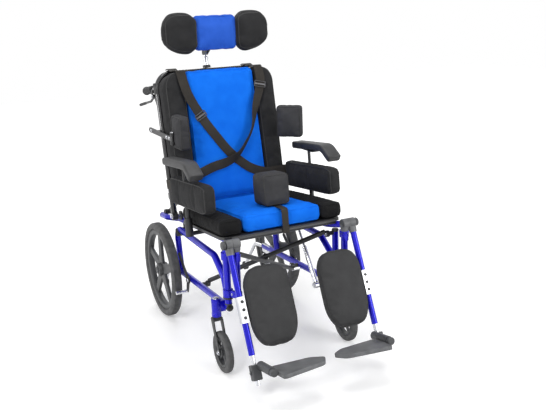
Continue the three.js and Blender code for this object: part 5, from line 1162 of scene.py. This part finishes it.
for label, side in SIDES:
    body, x, out = f"hanger_{label}", side * HANGER_X, side * X_WAY
    collars = []
    for low, high in ((296, 322), (432, 458)):
        post, hanger = at(side * POST_X, POST_Y, (low + high) / 2), at(x, HANGER_Y, (low + high) / 2)
        way = (hanger - post).normalized()
        collars += [sleeve(at(side * POST_X, POST_Y, low), at(side * POST_X, POST_Y, high), 18.2, 12.9),
                    sleeve(at(x, HANGER_Y, low), at(x, HANGER_Y, high), 14, 10.8),
                    bar([post + way * 0.014, hanger - way * 0.011], way.cross(Z_WAY), Z_WAY,
                        7, (high - low) / 2 - 1, 2)]
    piece(f"hanger_tube_{label}", candy_lacquer, body, [
        tube([at(x, HANGER_Y, 288), at(x, HANGER_Y, 489)], 11),
    ], body)
    piece(f"hanger_collars_{label}", candy_lacquer, body, [
        collars,
        turned(at(x, HANGER_Y, 288), Z_WAY, [(6, 11.2), (0, 12), (-4, 11.6), (-6, 7)]),
    ])
    piece(f"hanger_bolts_{label}", plated_steel, body, [
        [bolt_head(at(side * 232, -670, z), Vector((-side, -0.4, 0)).normalized(), 5, 3) for z in (309, 445)],
    ], edge=0.4)
    piece(f"hanger_knee_{label}", grey_moulding, body, [
        across(side * 203, side * 229.5, *KNEE, 18),
        across(side * 229.3, side * 266, *KNEE, 6),
        turned(at(x, HANGER_Y, 468), Z_WAY, [(0, 11.2), (0, 14), (14, 15.5), (26, 15.5)]),
    ], edge=1.5)
    piece(f"hanger_knob_{label}", moulded_nylon, body, [
        turned(at(side * 252.8, *KNEE), out, [(0, 8), (0, 13.5), (2, 15), (11, 15), (13, 13.5), (14, 9)], 10),
        turned(at(side * 203, *KNEE), -out, [(0, 16), (2, 15), (3, 10)]),
    ], edge=1.2)


# Leg tubes. Each elevating leg is a tube in the blue lacquer with a perforated aluminium sleeve
# and a bracket for the calf pad.
LEG_LEAN = math.radians(24.45)
LEG_X = 241
leg_frame = Matrix.Translation(at(0, *KNEE)) @ Matrix.Rotation(-LEG_LEAN, 4, "X")
leg_turn = leg_frame.to_3x3()
leg_back, leg_up = leg_turn @ Y_WAY, leg_turn @ Z_WAY


def leg_point(x, y, z):
    return leg_frame @ mm(x, y, z)


for label, side in SIDES:
    body, x = f"leg_{label}", side * LEG_X
    piece(f"leg_tube_shell_{label}", candy_lacquer, body, [
        sleeve(leg_point(x, 0, -372), leg_point(x, 0, -8), 11, 8.4),
    ], f"leg_tube_{label}")
    piece(f"leg_knuckle_{label}", grey_moulding, body, [
        sleeve(at(side * 229.8, *KNEE), at(side * 252.3, *KNEE), 18, 6.4),
        turned(leg_point(x, 0, -14), -leg_up, [(0, 11.1), (0, 15), (22, 13.4), (22, 11.1)], 32, True),
    ], edge=1.2)
    piece(f"leg_sleeve_{label}", tumbled_aluminium, body, [
        [[bar([leg_point(x + side * face * 11.5, 0, z) for z in (-265, -177)],
              X_WAY, leg_back, 0.8, 15, 0.6, 2),
          bar([leg_point(x, face * 14.2, z) for z in (-265, -177)], leg_back, X_WAY, 0.8, 12, 0.6, 2)]
         for face in (-1, 1)],
        bar([leg_point(side * bracket, 11.3, -222) for bracket in (113, 240)],
            leg_back, leg_up, 2, 22, 1.5, 2),
    ], edge=0.5)
    # The sleeve's holes are not cut: each is a thin black disc on its face, painted shade for the dark inside
    # of a hole.
    hole_shade_discs = [(leg_point(x, face * 15.1, -194 - k * 27), face) for k in range(3) for face in (-1, 1)]
    piece(f"leg_sleeve_hole_shade_discs_{label}", powder_coat, body, [
        [tube([hole, hole + leg_back * (face * 0.0012)], 5.8) for hole, face in hole_shade_discs],
    ], edge=0)


# Calf pads. Leathercloth is drawn over foam with round ends, piped in black round its back edge
# with a finer seam round the front, and bolted to the bracket of the leg.
CALF_ROUND_SHARE = 0.72
calf_cloth = new_fabric("calf_leathercloth", "#2d2d2e", "#363637", 1.8, 0.12, 0.25, 0.7)


def calf_form(vertex, half):
    rounding = 74 if vertex.z > 0 else 92
    into = max(0, abs(vertex.z) - (half[2] - rounding)) / rounding
    front = max(0, -vertex.y / half[1])
    narrow = 1 - CALF_ROUND_SHARE * (1 - math.sqrt(max(0, 1 - min(1, into) ** 2)))
    crown = 4 * front * swell(vertex.x, half[0]) * swell(vertex.z, half[2])
    return Vector((vertex.x * narrow, vertex.y - crown, vertex.z))


calf = filled_pad((169, 39, 271), 19.4, calf_form, 8, 1, 3.5, (3, 6, 3))
for label, side in SIDES:
    body, placing = f"leg_{label}", mirrored(leg_frame @ Matrix.Translation(mm(141, -12, -223)), side)
    soft_piece(f"calf_pad_cover_{label}", calf, placing, calf_cloth, body, f"calf_pad_{label}")
    sewn(f"calf_pad_piping_{label}", calf, placing, piping_cord, body, 2.2, (1,))
    sewn(f"calf_pad_seam_{label}", calf, placing, piping_cord, body, 1.3, (-1,))


# Foot tubes and footplates. A thinner tube slides in each leg and is locked by a clamp; a barrel
# at its end carries the moulded plate, which flips up about the barrel.
FOOT_X = 222
plate_frame = Matrix.Translation(at(0, -888, 130)) @ Matrix.Rotation(-math.radians(11), 4, "X")
plate_turn = plate_frame.to_3x3()
plate_back, plate_up = plate_turn @ Y_WAY, plate_turn @ Z_WAY

# Worn nylon: the footplates' moulding, scuffed to a paler grey where shoes rest
worn_nylon = new_finish("worn_grey_nylon", "#4f5052", 0.5, tint=(35, 6, "#454648", "#606163"),
                        gloss=(35, 6, 0.42, 0.62), relief=(0.9, 3, 0.05))

# Outline of the plate from its hub outwards, its corners rounded
corners = [(0, 0), (0.76, 0.09), (1, 0.36), (0.86, 0.74), (0, 1)]
outline = [Vector((mix(-17, -207, u), mix(-4, -122, v), 0)) for u, v in corners]
rounded = []
for before, corner, after in zip(outline[-1:] + outline, outline, outline[1:] + outline[:1]):
    arriving, leaving = corner - before, after - corner
    reach = min(14, arriving.length / 3, leaving.length / 3)
    start, end = corner - arriving.normalized() * reach, corner + leaving.normalized() * reach
    for t in (0, 0.25, 0.5, 0.75, 1):
        rounded.append(start * (1 - t) ** 2 + corner * (2 * t * (1 - t)) + end * t ** 2)
middle = sum(rounded, Vector((0, 0, 0))) / len(rounded)


def plate_point(side, x, y, z):
    return plate_frame @ mm(side * (FOOT_X + x), y, z)


for label, side in SIDES:
    body, x = f"foot_tube_{label}", side * LEG_X
    hub = plate_point(side, 0, 0, 0)
    piece(f"foot_tube_rod_{label}", plated_steel, body, [
        tube([leg_point(x, 0, -232), leg_point(x, 0, -472)], 8),
    ], body)
    piece(f"foot_clamp_{label}", moulded_nylon, body, [
        bar([leg_point(x, 0, z) for z in (-454, -403)], X_WAY, leg_back, 16, 16, 5),
    ], edge=1.5)
    piece(f"foot_barrel_{label}", moulded_nylon, body, [
        turned(hub, -plate_back, [(-24, 12), (-22, 15), (15.7, 15), (15.7, 7), (71, 7)]),
    ])
    piece(f"foot_knob_{label}", moulded_nylon, body, [
        turned(hub, -plate_back, [(72.6, 12), (74, 14), (86, 14), (89, 11), (89.5, 4)], 12),
        bolt_head(leg_point(x + side * 16, 0, -428), side * X_WAY, 6, 4),
    ])
    body = f"footplate_{label}"
    piece(f"footplate_hub_{label}", moulded_nylon, body, [
        sleeve(hub - plate_back * 0.0165, hub - plate_back * 0.0715, 15, 7.3),
    ])
    piece(f"footplate_moulding_{label}", worn_nylon, body, [
        ([[plate_point(side, m.x, m.y, z) for m in (mix(middle, p, grow) for p in rounded)]
          for z, grow in ((-17, 0.97), (-16, 1), (-4.5, 1), (-3, 0.985))], False),
        bar([plate_point(side, root, -44, -9.5) for root in (-12, -30)], plate_back, plate_up, 27, 6, 3),
    ], body, edge=0)


# Camera, floor and light. The camera stands to the front left of the chair at the height of a
# standing person's chest; large soft lamps light it evenly over a pale floor.
scene = bpy.context.scene
camera = bpy.data.objects.new("camera", bpy.data.cameras.new("camera"))
scene.collection.objects.link(camera)
right_way = Vector((0.8967, -0.4412, -0.0370))
up_way = Vector((0.1479, 0.2198, 0.9643))
forward_way = Vector((0.4173, 0.8701, -0.2623))
turn = Matrix((right_way, up_way, -forward_way)).transposed()
camera.matrix_world = Matrix.Translation(Vector((-1.1054, -2.8497 + AXLE_Y / 1000, 1.2592))) @ turn.to_4x4()
camera.data.lens = 48.017
camera.data.sensor_width = 36
camera.data.sensor_fit = "HORIZONTAL"
camera.data.clip_end = 100
scene.camera = camera
scene.view_settings.view_transform = "Standard"


def background_ray(tree):
    """1 for the rays that show the background: straight from the camera, or by a mirror or glass."""
    path = node(tree, "LightPath")
    seen = maths(tree, "MAXIMUM", path.outputs["Is Camera Ray"], path.outputs["Is Glossy Ray"])
    return maths(tree, "MAXIMUM", seen, path.outputs["Is Transmission Ray"])


# Studio floor: white painted board, lifted to white where the camera sees it
floor_paint = new_finish("white_floor_board", "#f4f4f4", 0.7, gloss=(80, 3, 0.65, 0.75))
tree = floor_paint.node_tree
shader = tree.nodes["Principled BSDF"]
distance = node(tree, "VectorMath", {0: tree.nodes["Mapping"].outputs["Vector"]}, operation="LENGTH")
far_lift = node(tree, "MapRange", {"Value": distance.outputs["Value"], "From Min": 900, "From Max": 3200,
                                   "To Min": 0.22, "To Max": 0.66})
lifted = maths(tree, "MULTIPLY", background_ray(tree), far_lift.outputs["Result"])
shader.inputs["Emission Color"].default_value = (1, 1, 1, 1)
tree.links.new(lifted, shader.inputs["Emission Strength"])
board = [[Vector((x, y, z)) for x, y in ((-9, -9), (9, -9), (9, 9), (-9, 9))] for z in (-0.02, 0)]
floor = bare_piece("floor", joined([(board, False)]), floor_paint)

world = bpy.data.worlds.new("studio")
scene.world = world
world.use_nodes = True
tree = world.node_tree
tree.nodes.clear()
lamp_sky = node(tree, "Background", {"Color": (1, 1, 1, 1), "Strength": 0.42})
white_sky = node(tree, "Background", {"Color": (1, 1, 1, 1), "Strength": 1.0})
both = node(tree, "MixShader", {"Fac": background_ray(tree), 1: lamp_sky.outputs["Background"],
                                2: white_sky.outputs["Background"]})
node(tree, "OutputWorld", {"Surface": both.outputs["Shader"]})


def soft_lamp(name, place, aim, size, power):
    """A square area lamp at a place in metres that points at another."""
    light = bpy.data.lights.new(name, "AREA")
    light.shape = "SQUARE"
    light.size = size
    light.energy = power
    lamp = bpy.data.objects.new(name, light)
    scene.collection.objects.link(lamp)
    lamp.location = place
    lamp.rotation_euler = (Vector(aim) - Vector(place)).to_track_quat("-Z", "Y").to_euler()


soft_lamp("key_lamp", (-2.4, -2.2, 2.6), (0, 0, 0.6), 1.0, 54)
soft_lamp("fill_lamp", (1.9, -2.9, 1.5), (0, 0, 0.6), 1.6, 50)
soft_lamp("rim_lamp", (0.6, 2.8, 2.8), (0, 0, 0.8), 1.6, 32)
soft_lamp("top_lamp", (-0.1, -0.4, 3.4), (0, 0, 0.6), 1.6, 40)
soft_lamp("side_lamp", (-3.2, 0.6, 1.2), (0, 0, 0.7), 0.7, 24)
